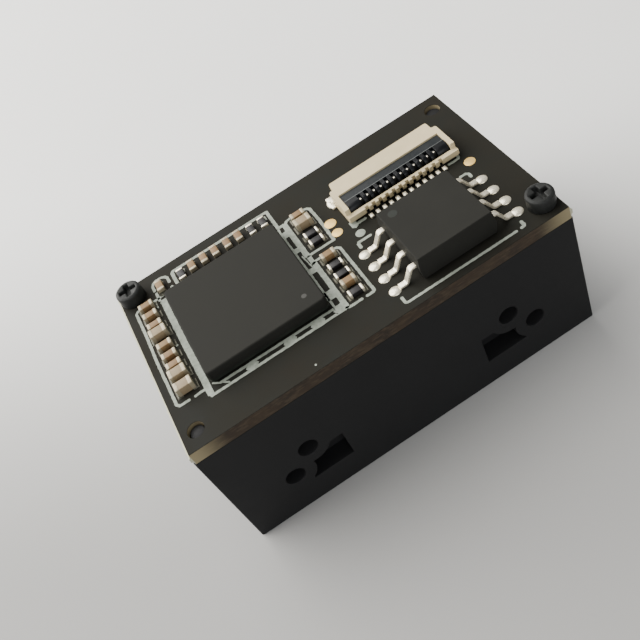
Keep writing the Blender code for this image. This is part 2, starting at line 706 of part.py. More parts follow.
def make_board_screw(name, centre, material):
    """A pan-head screw with a cross recess, seated on the board."""
    seat = BOARD_TOP_Z + SEAT_GAP
    top = seat + SCREW_HEAD_HEIGHT
    tip = HOUSING_HEIGHT - SCREW_GRIP
    rim = (SCREW_HEAD_RADIUS - SCREW_HEAD_EDGE, top - SCREW_HEAD_EDGE)
    profile = [
        (0, tip),
        (SCREW_TIP_RADIUS, tip),
        (SCREW_SHANK_RADIUS, tip + SCREW_SHANK_RADIUS),
        (SCREW_SHANK_RADIUS, seat),
        (SCREW_HEAD_RADIUS, seat),
        *arc(rim, SCREW_HEAD_EDGE, 0, 90, 3),
        (0, top),
    ]
    screw = add_object(name, turned(profile, centre, ROUND_STEPS), material)
    arm = SCREW_RECESS_WIDTH / 2
    reach = SCREW_RECESS_REACH
    cross = []
    for turn in range(4):
        angle = math.pi / 2 * turn
        for along, across in ((arm, -arm), (reach, -arm), (reach, arm)):
            cross.append(
                (
                    centre[0] + along * math.cos(angle) - across * math.sin(angle),
                    centre[1] + along * math.sin(angle) + across * math.cos(angle),
                )
            )
    cut(screw, add_cutter(f"cut_{name}", prism(cross, top - SCREW_RECESS_DEPTH, top + OVERSHOOT)))


def make_processor(material):
    centre = (LEFT_EDGE + PROCESSOR_FROM_LEFT, PROCESSOR_Y)
    outline = rounded_rectangle(PROCESSOR_SIZE, PROCESSOR_SIZE, PROCESSOR_CORNER_RADIUS, centre)
    mesh = prism(outline, PARTS_Z, PARTS_Z + PROCESSOR_HEIGHT)
    middle = PARTS_Z + PROCESSOR_HEIGHT / 2
    top = [edge for edge in mesh.edges if all(vert.co.z > middle for vert in edge.verts)]
    bmesh.ops.bevel(
        mesh, geom=top, offset=PROCESSOR_EDGE, affect="EDGES", segments=1, profile=0.5, material=-1
    )
    add_object("processor", mesh, material)


def make_memory(material):
    """The memory chip: a drafted moulding with a row of gull-wing leads on each short side."""
    centre_x = RIGHT_EDGE - MEMORY_FROM_RIGHT
    centre_y = FRONT_EDGE + MEMORY_FROM_FRONT
    low = PARTS_Z + MEMORY_STANDOFF
    high = PARTS_Z + MEMORY_HEIGHT
    middle = (low + high) / 2
    mesh = box(
        (centre_x - MEMORY_LENGTH / 2, centre_x + MEMORY_LENGTH / 2),
        (centre_y - MEMORY_WIDTH / 2, centre_y + MEMORY_WIDTH / 2),
        (low, high),
    )
    ends = [vert.co for vert in mesh.verts]
    bmesh.ops.bisect_plane(
        mesh,
        geom=list(mesh.verts) + list(mesh.edges) + list(mesh.faces),
        plane_co=(0, 0, middle),
        plane_no=(0, 0, 1),
    )
    for co in ends:
        co.x -= math.copysign(MEMORY_DRAFT, co.x - centre_x)
        co.y -= math.copysign(MEMORY_DRAFT, co.y - centre_y)
    memory = add_object("flash_memory", mesh, material)
    for name, side in (("left", -1), ("right", 1)):
        leads = bmesh.new()
        for i in range(LEAD_COUNT):
            y = centre_y + LEAD_PITCH * (i - (LEAD_COUNT - 1) / 2)
            add_lead(leads, centre_x, y, side, middle)
        join(memory, add_cutter(f"add_leads_{name}", leads))


def add_lead(mesh, centre_x, y, side, shoulder_z):
    """One gull-wing lead, from inside the moulding down to the board."""
    inside = MEMORY_LENGTH / 2 - LEAD_SHOULDER
    bend = MEMORY_LENGTH / 2 + LEAD_SHOULDER / 2
    toe = LEAD_SPAN / 2
    heel = toe - LEAD_FOOT
    top = shoulder_z + LEAD_THICKNESS / 2
    under = shoulder_z - LEAD_THICKNESS / 2
    foot = PARTS_Z + LEAD_THICKNESS
    outline = [
        (inside, under),
        (bend, under),
        (heel, PARTS_Z),
        (toe, PARTS_Z),
        (toe, foot),
        (heel + LEAD_THICKNESS / 2, foot),
        (bend + LEAD_THICKNESS, top),
        (inside, top),
    ]
    start = len(mesh.verts)
    flat = [(z, centre_x + side * x) for x, z in outline]
    add_prism(mesh, flat, y - LEAD_WIDTH / 2, y + LEAD_WIDTH / 2)
    mesh.verts.ensure_lookup_table()
    turn = Matrix(((0, 1, 0, 0), (0, 0, 1, 0), (1, 0, 0, 0), (0, 0, 0, 1)))
    bmesh.ops.transform(mesh, matrix=turn, verts=mesh.verts[start:])


def make_connector(cream):
    """The connector's insulator: a comb, two arms and a front block with the cable mouth."""
    z = (PARTS_Z, PARTS_Z + CONNECTOR_HEIGHT)
    x = (CONNECTOR_X - CONNECTOR_HALF, CONNECTOR_X + CONNECTOR_HALF)
    rear = CONNECTOR_REAR_Y
    mouth = CONNECTOR_MOUTH_Y
    block = mouth - FRONT_BLOCK_DEPTH
    comb = rear + COMB_DEPTH
    body = add_object("ffc_housing", box(x, (rear, mouth), z), cream)
    bay = box(
        (x[0] + CONNECTOR_ARM, x[1] - CONNECTOR_ARM),
        (comb, block),
        (z[0] - OVERSHOOT, z[1] + OVERSHOOT),
    )
    shoulders = bmesh.new()
    sides = (
        (x[0] - OVERSHOOT, x[0] + CONNECTOR_ARM),
        (x[1] - CONNECTOR_ARM, x[1] + OVERSHOOT),
    )
    for side in sides:
        add_box(
            shoulders,
            side,
            (mouth - SHOULDER_DEPTH, mouth + OVERSHOOT),
            (z[0] - OVERSHOOT, z[1] + OVERSHOOT),
        )
    low_comb = box(
        (x[0] - OVERSHOOT, x[1] + OVERSHOOT),
        (rear - OVERSHOOT, comb),
        (z[0] + COMB_HEIGHT, z[1] + OVERSHOOT),
    )
    half_mouth = CONTACT_SPAN / 2 + MOUTH_MARGIN
    cable = box(
        (CONNECTOR_X - half_mouth, CONNECTOR_X + half_mouth),
        (block - OVERSHOOT / 2, mouth + OVERSHOOT),
        (z[0] + MOUTH_FLOOR, z[1] - MOUTH_ROOF),
    )
    grooves = bmesh.new()
    tunnels = bmesh.new()
    notches = bmesh.new()
    for contact_x in contact_positions():
        groove_x = (contact_x - SLOT_WIDTH / 2, contact_x + SLOT_WIDTH / 2)
        add_box(
            grooves,
            groove_x,
            (block - OVERSHOOT / 2, mouth - FIT_GAP - SHOULDER_DEPTH / 4),
            (z[0] + SEAT_GAP, z[0] + MOUTH_FLOOR + FIT_GAP),
        )
        add_box(
            tunnels,
            groove_x,
            (rear - OVERSHOOT, comb + OVERSHOOT / 2),
            (z[0] - OVERSHOOT, z[0] + CONTACT_TUNNEL_HEIGHT),
        )
        add_box(
            notches,
            groove_x,
            (rear - OVERSHOOT, rear + COMB_NOTCH_DEPTH),
            (z[0] + CONTACT_TUNNEL_HEIGHT / 2, z[1] + OVERSHOOT),
        )
    bearings = bmesh.new()
    reach = CONNECTOR_HALF - CONNECTOR_ARM + LATCH_PIN_LENGTH + FIT_GAP
    add_cylinder(
        bearings,
        LATCH_PIN_RADIUS + FIT_GAP,
        (LATCH_AXIS_Y, LATCH_AXIS_Z),
        CONNECTOR_X - reach,
        CONNECTOR_X + reach,
        SMALL_ROUND_STEPS,
    )
    cut(
        body,
        add_cutter("cut_latch_bay", bay),
        add_cutter("cut_shoulders", shoulders),
        add_cutter("cut_comb_top", low_comb),
        add_cutter("cut_cable_mouth", cable),
        add_cutter("cut_contact_grooves", grooves),
        add_cutter("cut_contact_tunnels", tunnels),
        add_cutter("cut_comb_notches", notches),
        add_cutter("cut_latch_bearings", turn_to_x(bearings)),
    )


def make_latch(black):
    """The flip latch, built about its own axis so that it turns there."""
    hub = LATCH_HUB_RADIUS
    free_edge = CONNECTOR_MOUTH_Y - FRONT_BLOCK_DEPTH - FIT_GAP - LATCH_AXIS_Y
    lower_top = hub - LATCH_STEP_DROP
    profile = arc((0, 0), hub, 90, 360, LATCH_ARC_STEPS)[:-1]
    profile += [
        (hub, -LATCH_PLATE_BELOW),
        (free_edge, -LATCH_PLATE_BELOW),
        (free_edge, lower_top),
        (LATCH_STEP_REACH + LATCH_STEP_DROP, lower_top),
        (LATCH_STEP_REACH, hub),
    ]
    half = CONNECTOR_HALF - CONNECTOR_ARM - FIT_GAP
    latch = add_object("ffc_latch", turn_to_x(prism(profile, -half, half)), black)
    pins = bmesh.new()
    add_cylinder(
        pins,
        LATCH_PIN_RADIUS,
        (0, 0),
        -half - LATCH_PIN_LENGTH,
        half + LATCH_PIN_LENGTH,
        SMALL_ROUND_STEPS,
    )
    pins = add_cutter("add_latch_pins", turn_to_x(pins))
    slots = bmesh.new()
    for contact_x in contact_positions():
        middle = contact_x - CONNECTOR_X
        add_box(
            slots,
            (middle - SLOT_WIDTH / 2, middle + SLOT_WIDTH / 2),
            (-hub - OVERSHOOT, LATCH_SLOT_REACH),
            (-hub - OVERSHOOT, hub + OVERSHOOT),
        )
    slots = add_cutter("cut_latch_slots", slots)
    join(latch, pins)
    cut(latch, slots)
    for obj in (latch, pins, slots):
        obj.location = (CONNECTOR_X, LATCH_AXIS_Y, LATCH_AXIS_Z)


def make_contacts(tin):
    """The spring contacts: a foot on the board, a lower beam, and an upper arm at each end."""
    rear = CONNECTOR_REAR_Y
    block = CONNECTOR_MOUTH_Y - FRONT_BLOCK_DEPTH
    tip = CONNECTOR_MOUTH_Y - SHOULDER_DEPTH / 2
    beam_low, beam_top = CONTACT_BEAM
    bar_low, bar_top = CONTACT_BAR
    post = block - CONTACT_POST_SETBACK
    post_front = post + CONTACT_POST_LENGTH
    hook = LATCH_AXIS_Y + CONTACT_HOOK_FRONT
    hook_rear = hook - CONTACT_HOOK_LENGTH
    jaw = block + CONTACT_JAW_START
    outline = [
        (rear - CONTACT_FOOT_REACH, 0),
        (rear, 0),
        (rear + CONTACT_RISE_LENGTH, beam_low),
        (tip, beam_low),
        (tip, beam_top),
        (post_front, beam_top),
        (post_front, bar_low),
        (jaw + CONTACT_JAW_SLOPE, CONTACT_JAW_ROOT[0]),
        (tip, CONTACT_JAW_TIP[0]),
        (tip, CONTACT_JAW_TIP[1]),
        (jaw, CONTACT_JAW_ROOT[1]),
        (post_front - CONTACT_JAW_START, bar_top),
        (hook, bar_top),
        (hook, CONTACT_HOOK_TOP),
        (hook_rear, CONTACT_HOOK_TOP),
        (hook_rear, bar_low),
        (post, bar_low),
        (post, beam_top),
        (rear, beam_top),
        (rear - CONTACT_FOOT_REACH, CONTACT_FOOT_HEIGHT),
    ]
    points = [(y, PARTS_Z + height) for y, height in outline]
    for number, x in enumerate(contact_positions(), 1):
        low = x - CONTACT_THICKNESS / 2
        mesh = turn_to_x(prism(points, low, low + CONTACT_THICKNESS))
        add_object(f"ffc_contact_{number:02d}", mesh, tin)


def chip(size, centre, along_x):
    """A chip part: a body between two slightly larger terminals, as one solid."""
    length, width, height = size
    inner = length / 2 - TERMINAL_LENGTH
    sections = [
        (-length / 2, 0),
        (-inner, 0),
        (-inner, TERMINAL_PROUD),
        (inner, TERMINAL_PROUD),
        (inner, 0),
        (length / 2, 0),
    ]
    mesh = bmesh.new()
    rings = []
    for place, inset in sections:
        half = width / 2 - inset
        low = PARTS_Z + inset
        high = PARTS_Z + height - inset
        corners = ((-half, low), (half, low), (half, high), (-half, high))
        rings.append([mesh.verts.new((place, across, up)) for across, up in corners])
    for first, second in zip(rings, rings[1:]):
        for i in range(4):
            mesh.faces.new((first[i], first[i - 1], second[i - 1], second[i]))
    mesh.faces.new(rings[0])
    mesh.faces.new(rings[-1])
    turn = 0 if along_x else math.pi / 2
    place = Matrix.Translation((centre[0], centre[1], 0)) @ Matrix.Rotation(turn, 4, "Z")
    bmesh.ops.transform(mesh, matrix=place, verts=mesh.verts)
    return mesh


def make_chips(ceramic, black):
    column_x = LEFT_EDGE + COLUMN_FROM_LEFT
    group_x = LEFT_EDGE + GROUP_FROM_LEFT
    columns = (
        ("capacitor_column", SMALL_CAPACITOR, column_x, COLUMN_SMALL_Y, ceramic),
        ("capacitor_column_large", LARGE_CAPACITOR, column_x, COLUMN_LARGE_Y, ceramic),
        ("capacitor_upper", SMALL_CAPACITOR, group_x, UPPER_SMALL_Y, ceramic),
        ("capacitor_upper_large", LARGE_CAPACITOR, group_x, UPPER_LARGE_Y, ceramic),
        ("capacitor_lower", SMALL_CAPACITOR, group_x, LOWER_SMALL_Y, ceramic),
        ("resistor_upper", RESISTOR, group_x, UPPER_RESISTOR_Y, black),
        ("resistor_lower", RESISTOR, group_x, LOWER_RESISTOR_Y, black),
    )
    for name, size, x, places, material in columns:
        for number, y in enumerate(places, 1):
            add_object(f"{name}_{number}", chip(size, (x, y * MM), True), material)
    rows = (
        ("capacitor_row", SMALL_CAPACITOR, ROW_CAPACITOR_FROM_LEFT, ceramic),
        ("resistor_row", RESISTOR, ROW_RESISTOR_FROM_LEFT, black),
    )
    for name, size, places, material in rows:
        for number, from_left in enumerate(places, 1):
            centre = (LEFT_EDGE + from_left * MM, ROW_Y)
            add_object(f"{name}_{number}", chip(size, centre, False), material)


def main():
    clear_scene()
    black_moulding = make_material("black_moulding", (0.019, 0.019, 0.019), 0.6)
    optics_black = make_material("optics_black", (0.012, 0.012, 0.013), 0.45)
    clear_glass = make_material("clear_glass", (0.85, 0.9, 0.9), 0.05)
    filter_glass = make_material("filter_glass", (0.45, 0.7, 0.75), 0.05)
    rubber = make_material("rubber", (0.02, 0.02, 0.02), 0.8)
    silicon = make_material("silicon", (0.05, 0.07, 0.09), 0.25)
    diode_metal = make_material("diode_metal", (0.75, 0.62, 0.38), 0.3, 1.0)
    led_ceramic = make_material("led_ceramic", (0.8, 0.78, 0.7), 0.5)
    solder_mask = make_material("solder_mask", (0.045, 0.045, 0.038), 0.5)
    black_steel = make_material("black_steel", (0.02, 0.02, 0.02), 0.35, 0.6)
    chip_black = make_material("chip_black", (0.06, 0.058, 0.05), 0.55)
    connector_cream = make_material("connector_cream", (0.66, 0.6, 0.46), 0.5)
    latch_black = make_material("latch_black", (0.012, 0.013, 0.016), 0.4)
    tinned_metal = make_material("tinned_metal", (0.75, 0.73, 0.68), 0.3, 1.0)
    capacitor_ceramic = make_material("capacitor_ceramic", (0.4, 0.26, 0.14), 0.55)
    resistor_black = make_material("resistor_black", (0.02, 0.02, 0.022), 0.5)

    make_housing(black_moulding)
    make_window(clear_glass, rubber)
    make_receiver(optics_black, clear_glass, filter_glass, silicon)
    make_emitter(optics_black, clear_glass, diode_metal)
    make_illumination(clear_glass, led_ceramic)
    make_board(solder_mask)
    for name, centre in zip(("rear_left", "front_right"), SCREW_CENTRES):
        make_board_screw(f"board_screw_{name}", centre, black_steel)
    make_processor(chip_black)
    make_memory(chip_black)
    make_connector(connector_cream)
    make_latch(latch_black)
    make_contacts(tinned_metal)
    make_chips(capacitor_ceramic, resistor_black)


main()
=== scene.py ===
"""Looks of a compact optical scanner module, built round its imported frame.

Metres, in the frame's own axes: +X along the long side, +Y away from the mounting side,
+Z from the window to the circuit board. Each sub-assembly is a class that makes its
pieces and dresses them. Every place comes from the frame's boxes, or is a named size
measured from the middle of the circuit board.
"""

import logging
import math
from collections.abc import Callable, Iterable
from dataclasses import dataclass
from enum import Enum
from functools import cache

import bmesh
import bpy
from mathutils import Matrix, Vector, noise


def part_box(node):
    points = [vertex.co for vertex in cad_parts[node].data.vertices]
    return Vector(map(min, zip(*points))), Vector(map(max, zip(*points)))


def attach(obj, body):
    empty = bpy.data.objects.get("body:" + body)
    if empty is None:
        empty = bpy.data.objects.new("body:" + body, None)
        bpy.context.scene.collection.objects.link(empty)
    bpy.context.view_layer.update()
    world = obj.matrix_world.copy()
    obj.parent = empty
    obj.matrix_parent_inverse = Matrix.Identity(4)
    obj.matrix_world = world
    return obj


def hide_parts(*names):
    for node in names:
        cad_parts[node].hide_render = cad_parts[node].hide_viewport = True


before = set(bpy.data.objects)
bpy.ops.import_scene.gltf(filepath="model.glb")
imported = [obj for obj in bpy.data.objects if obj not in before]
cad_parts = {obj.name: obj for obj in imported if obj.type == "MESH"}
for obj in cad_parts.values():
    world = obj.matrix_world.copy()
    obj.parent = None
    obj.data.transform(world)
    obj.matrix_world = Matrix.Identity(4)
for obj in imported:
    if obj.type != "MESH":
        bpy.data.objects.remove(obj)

MM = 0.001
MERGE = 1e-7
HIDDEN_GAP = 0.004 * MM  # keeps faces that touch from sharing one plane
SOLDER_SINK = 0.018 * MM  # from a chip's underside down to the board
MARK_STEPS = 32  # sides round a pin-1 mark
BLOTCH_SPAN = (0.3, 0.7)  # the part of the cloud's range that a blotch spreads over
BROAD_SHARE = 0.12  # the scale of the broad unevenness, as a share of the grain's
SPECK_DRAW = 0.6  # specks with a random draw above this show

Colour = tuple[float, float, float]
Point = tuple[float, float]
Place = tuple[float, float, float]
Shape = bmesh.types.BMesh
Socket = bpy.types.NodeSocket
Tree = bpy.types.NodeTree

log = logging.getLogger("module")


class Body(Enum):
    """The bodies that pieces ride on."""

    MODULE = "module"
    LATCH = "latch"


class Slot(Enum):
    """The names of the record's material slots."""

    HOUSING = "housing_plastic"
    WINDOW = "window_glass"
    OPTICS = "optics_plastic"
    LENS = "lens_glass"
    GOLD = "gold_plating"
    MASK = "solder_mask"
    LAMINATE = "board_laminate"
    INK = "marking_ink"
    SCREW = "screw_steel"
    EPOXY = "chip_epoxy"
    CREAM = "connector_cream"
    LATCH = "latch_plastic"
    TIN = "tinned_metal"
    CERAMIC = "capacitor_ceramic"
    GLAZE = "resistor_glaze"


# ---------------------------------------------------------------- mesh helpers


def add_to(mesh: Shape, part: Shape) -> None:
    """Moves a finished shape into a larger one.

    Args:
        mesh: The shape that grows.
        part: The shape that is added, and is freed.
    """
    carrier = bpy.data.meshes.new("carrier")
    part.to_mesh(carrier)
    part.free()
    mesh.from_mesh(carrier)
    bpy.data.meshes.remove(carrier)


def round_edges(
    mesh: Shape,
    width: float,
    segments: int = 2,
    turn: float = 35.0,
    chosen: Callable[[bmesh.types.BMEdge], bool] | None = None,
    clamp: bool = True,
) -> None:
    """Rounds the edges of a shape that turn sharply.

    Args:
        mesh: The shape.
        width: How far each round reaches from the edge.
        segments: Faces across each round.
        turn: The least angle, in degrees, that counts as sharp.
        chosen: A test that an edge has to pass, or None for every sharp edge.
        clamp: Whether rounds stop short of each other.
    """
    sharp = [
        edge
        for edge in mesh.edges
        if len(edge.link_faces) == 2
        and edge.calc_face_angle(0.0) > math.radians(turn)
        and (chosen is None or chosen(edge))
    ]
    bmesh.ops.bevel(
        mesh, geom=sharp, offset=width, offset_type="OFFSET", affect="EDGES", segments=segments,
        profile=0.5, material=-1, clamp_overlap=clamp,
    )


def block(low: Iterable[float], high: Iterable[float], width: float = 0.0, segments: int = 2) -> Shape:
    """A box with rounded edges.

    Args:
        low: Its lowest corner.
        high: Its highest corner.
        width: The reach of the rounds, or 0 for sharp edges.
        segments: Faces across each round.

    Returns:
        The shape.
    """
    low, high = Vector(low), Vector(high)
    mesh = bmesh.new()
    place = Matrix.Translation((low + high) / 2) @ Matrix.Diagonal((*(high - low), 1.0))
    bmesh.ops.create_cube(mesh, size=1.0, matrix=place)
    if width:
        round_edges(mesh, width, segments)
    return mesh


def lathe(profile: list[Point], centre: Point, steps: int = 48) -> Shape:
    """A solid of revolution about an upright axis.

    Args:
        profile: (radius, height) points. They run from the axis to the axis, or close on
            themselves.
        centre: Where the axis stands.
        steps: Sides round the axis.

    Returns:
        The shape.
    """
    mesh = bmesh.new()
    verts = [mesh.verts.new((centre[0] + radius, centre[1], height)) for radius, height in profile]
    pairs = list(zip(verts, verts[1:]))
    if profile[0][0] > 0:
        pairs.append((verts[-1], verts[0]))
    edges = [mesh.edges.new(pair) for pair in pairs]
    bmesh.ops.spin(
        mesh, geom=verts + edges, cent=(*centre, 0), axis=(0, 0, 1), angle=math.tau, steps=steps,
        use_merge=True, use_duplicate=False,
    )
    bmesh.ops.remove_doubles(mesh, verts=mesh.verts, dist=MERGE)
    return mesh


def arc(centre: Point, radius: float, start: float, end: float, steps: int) -> list[Point]:
    """Points on a circle.

    Args:
        centre: The circle's middle.
        radius: Its radius.
        start: The first angle, in degrees.
        end: The last angle, in degrees.
        steps: The number of spans between the points.

    Returns:
        The points, both ends included.
    """
    angles = [math.radians(start + (end - start) * i / steps) for i in range(steps + 1)]
    return [(centre[0] + radius * math.cos(a), centre[1] + radius * math.sin(a)) for a in angles]


def dome(centre: Iterable[float], reach: Point, height: float) -> Shape:
    """A low mound with a flat base, such as a drop of solder.

    Args:
        centre: The middle of its base.
        reach: Its radii along X and Y.
        height: How high it stands.

    Returns:
        The shape.
    """
    mesh = bmesh.new()
    place = Matrix.Translation(Vector(centre)) @ Matrix.Diagonal((*reach, height, 1.0))
    bmesh.ops.create_uvsphere(mesh, u_segments=20, v_segments=12, radius=1.0, matrix=place)
    keep_side(mesh, centre, (0, 0, 1))
    return mesh


def keep_side(mesh: Shape, point: Iterable[float], normal: Iterable[float]) -> None:
    """Cuts a closed shape with a plane, keeps the side that the normal points to, and closes the cut.

    Args:
        mesh: The shape.
        point: A point of the plane.
        normal: The plane's normal.
    """
    cut = bmesh.ops.bisect_plane(
        mesh, geom=[*mesh.verts, *mesh.edges, *mesh.faces], dist=MERGE, plane_co=Vector(point),
        plane_no=Vector(normal), clear_inner=True,
    )
    rim = [item for item in cut["geom_cut"] if isinstance(item, bmesh.types.BMEdge)]
    bmesh.ops.triangle_fill(mesh, use_beauty=True, use_dissolve=False, edges=rim)


def copied(node: str) -> Shape:
    """A clean copy of a frame node's mesh, with its flat faces made whole.

    Args:
        node: The node's name.

    Returns:
        The shape.
    """
    mesh = bmesh.new()
    mesh.from_mesh(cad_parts[node].data)
    bmesh.ops.remove_doubles(mesh, verts=mesh.verts, dist=MERGE)
    bmesh.ops.dissolve_limit(
        mesh, angle_limit=math.radians(0.5), use_dissolve_boundaries=False, verts=mesh.verts,
        edges=mesh.edges,
    )
    return mesh


def finished(
    name: str,
    mesh: Shape,
    material: bpy.types.Material,
    body: Body = Body.MODULE,
    stands_for: tuple[str, ...] = (),
    sharp: float = 40.0,
) -> None:
    """Makes a shape a piece of the module, dressed and riding on its body.

    Args:
        name: The piece's name.
        mesh: Its shape, which is freed.
        material: Its material.
        body: The body that it rides on.
        stands_for: The frame nodes that it replaces.
        sharp: The angle, in degrees, past which an edge is shaded sharp.
    """
    bmesh.ops.recalc_face_normals(mesh, faces=mesh.faces)
    data = bpy.data.meshes.new(name)
    mesh.to_mesh(data)
    mesh.free()
    data.shade_smooth()
    data.set_sharp_from_angle(angle=math.radians(sharp))
    data.materials.append(material)
    piece = bpy.data.objects.new(name, data)
    bpy.context.scene.collection.objects.link(piece)
    shading = piece.modifiers.new("even_shading", "WEIGHTED_NORMAL")
    shading.keep_sharp = True
    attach(piece, body.value)
    if stands_for:
        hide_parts(*stands_for)
    log.info("%s: %d faces on %s", name, len(data.polygons), body.value)


# ------------------------------------------------------------------ materials


def feed(tree: Tree, socket: Socket, value: object) -> None:
    """Links a socket into an input, or sets the input's own value.

    Args:
        tree: The node tree.
        socket: The input.
        value: The socket to link from, or the value to set.
    """
    if isinstance(value, Socket):
        tree.links.new(value, socket)
    else:
        socket.default_value = value


def add_node(tree: Tree, kind: str, **settings: object) -> bpy.types.Node:
    """Adds a node and sets its properties and inputs.

    Args:
        tree: The node tree.
        kind: The node's type name.
        **settings: Properties by name. A name that isn't a property is an input, with
            underscores for spaces, and takes a value or a socket to link from.

    Returns:
        The node.
    """
    node = tree.nodes.new(kind)
    for name, value in settings.items():
        if hasattr(node, name):
            setattr(node, name, value)
        else:
            feed(tree, node.inputs[name.replace("_", " ")], value)
    return node


def worked_out(tree: Tree, operation: str, *values: Socket | float) -> Socket:
    """Adds a math node.

    Args:
        tree: The node tree.
        operation: What it works out.
        *values: Its inputs, each a number or a socket.

    Returns:
        The result's socket.
    """
    node = add_node(tree, "ShaderNodeMath", operation=operation)
    for socket, value in zip(node.inputs, values):
        feed(tree, socket, value)
    return node.outputs[0]


def ramped(tree: Tree, value: Socket, start: float, end: float, **settings: object) -> Socket:
    """Stretches a value so that it runs from 0 at the start to 1 at the end.

    Args:
        tree: The node tree.
        value: The value's socket.
        start: Where the ramp starts.
        end: Where it ends.
        **settings: Other properties and inputs of the node.

    Returns:
        The ramp's socket.
    """
    ends = {"From_Min": start, "From_Max": end}
    return add_node(tree, "ShaderNodeMapRange", Value=value, **ends, **settings).outputs[0]


def open_group(name: str, inputs: dict[str, object], outputs: dict[str, str]) -> tuple:
    """Starts a shader node group with named sockets.

    Args:
        name: The group's name.
        inputs: Each input's default value: a number, or 3 for a vector, or 4 for a colour.
        outputs: Each output's socket type.

    Returns:
        The group, its input node and its output node.
    """
    group = bpy.data.node_groups.new(name, "ShaderNodeTree")
    for label, value in inputs.items():
        kind = {3: "NodeSocketVector", 4: "NodeSocketColor"}.get(
            len(value) if isinstance(value, tuple) else 0, "NodeSocketFloat"
        )
        socket = group.interface.new_socket(label, in_out="INPUT", socket_type=kind)
        socket.default_value = value
    for label, kind in outputs.items():
        group.interface.new_socket(label, in_out="OUTPUT", socket_type=kind)
    return group, group.nodes.new("NodeGroupInput"), group.nodes.new("NodeGroupOutput")


@cache
def blotch_group() -> Tree:
    """The group that drifts a tone between two colours, and puts out the drift as a mask."""
    group, given, out = open_group(
        "blotches", {"Vector": (0.0,) * 3, "Colour": (1.0,) * 4, "Second": (1.0,) * 4, "Size": MM},
        {"Colour": "NodeSocketColor", "Mask": "NodeSocketFloat"},
    )
    cloud = add_node(
        group, "ShaderNodeTexNoise", Vector=given.outputs["Vector"],
        Scale=worked_out(group, "DIVIDE", 1.0, given.outputs["Size"]), Detail=4.0, Roughness=0.6,
    )
    drift = ramped(group, cloud.outputs["Fac"], *BLOTCH_SPAN)
    colour = mixed(group, drift, given.outputs["Colour"], given.outputs["Second"])
    group.links.new(colour, out.inputs["Colour"])
    group.links.new(drift, out.inputs["Mask"])
    return group


@cache
def grain_group() -> Tree:
    """The group that roughens a surface with a fine grain and a broad unevenness."""
    group, given, out = open_group(
        "grain", {"Vector": (0.0,) * 3, "Size": 0.05 * MM, "Depth": 0.002 * MM, "Wave": 0.3},
        {"Normal": "NodeSocketVector"},
    )
    place = given.outputs["Vector"]
    scale = worked_out(group, "DIVIDE", 1.0, given.outputs["Size"])
    broad = worked_out(group, "MULTIPLY", scale, BROAD_SHARE)
    fine = add_node(group, "ShaderNodeTexNoise", Vector=place, Scale=scale, Detail=3.0, Roughness=0.65)
    wide = add_node(group, "ShaderNodeTexNoise", Vector=place, Scale=broad, Detail=1.0)
    waves = (wide.outputs["Fac"], given.outputs["Wave"], fine.outputs["Fac"])
    lift = worked_out(group, "MULTIPLY_ADD", *waves)
    bump = add_node(group, "ShaderNodeBump", Height=lift, Distance=given.outputs["Depth"], Strength=1.0)
    group.links.new(bump.outputs[0], out.inputs["Normal"])
    return group


@cache
def speck_group() -> Tree:
    """The group that scatters small round specks, such as dust or filler grains."""
    group, given, out = open_group(
        "specks", {"Vector": (0.0,) * 3, "Spacing": 0.4 * MM, "Share": 0.1},
        {"Mask": "NodeSocketFloat"},
    )
    scale = worked_out(group, "DIVIDE", 1.0, given.outputs["Spacing"])
    cells = add_node(group, "ShaderNodeTexVoronoi", Vector=given.outputs["Vector"], Scale=scale)
    near = worked_out(group, "LESS_THAN", cells.outputs["Distance"], given.outputs["Share"])
    draw = add_node(group, "ShaderNodeSeparateColor", Color=cells.outputs["Color"])
    some = worked_out(group, "GREATER_THAN", draw.outputs[0], SPECK_DRAW)
    group.links.new(worked_out(group, "MULTIPLY", near, some), out.inputs["Mask"])
    return group


def use_group(tree: Tree, group: Tree, **inputs: object) -> bpy.types.Node:
    """Places a node group in a material with its own values.

    Args:
        tree: The material's node tree.
        group: The group.
        **inputs: Values or sockets for the group's inputs.

    Returns:
        The group node.
    """
    node = tree.nodes.new("ShaderNodeGroup")
    node.node_tree = group
    for name, value in inputs.items():
        feed(tree, node.inputs[name], value)
    return node


def mixed(tree: Tree, mask: Socket, first: Socket, second: Socket | Colour) -> Socket:
    """Mixes two colours by a mask.

    Args:
        tree: The node tree.
        mask: 0 for the first colour, 1 for the second.
        first: The first colour's socket.
        second: The second colour, or its socket.

    Returns:
        The mixed colour's socket.
    """
    factor, near, far = 0, 6, 7  # the colour inputs of a mix node, which has one set for each type
    mix = add_node(tree, "ShaderNodeMix", data_type="RGBA")
    feed(tree, mix.inputs[factor], mask)
    feed(tree, mix.inputs[near], first)
    feed(tree, mix.inputs[far], second if isinstance(second, Socket) else (*second, 1.0))
    return mix.outputs[2]


def open_material(name: str) -> tuple[bpy.types.Material, Tree, bpy.types.Node, Socket]:
    """Starts a material that is worked out from object coordinates.

    Args:
        name: Its name.

    Returns:
        The material, its node tree, its shader and the coordinates' socket.
    """
    material = bpy.data.materials.new(name)
    material.use_nodes = True
    tree = material.node_tree
    place = add_node(tree, "ShaderNodeTexCoord").outputs["Object"]
    return material, tree, tree.nodes["Principled BSDF"], place


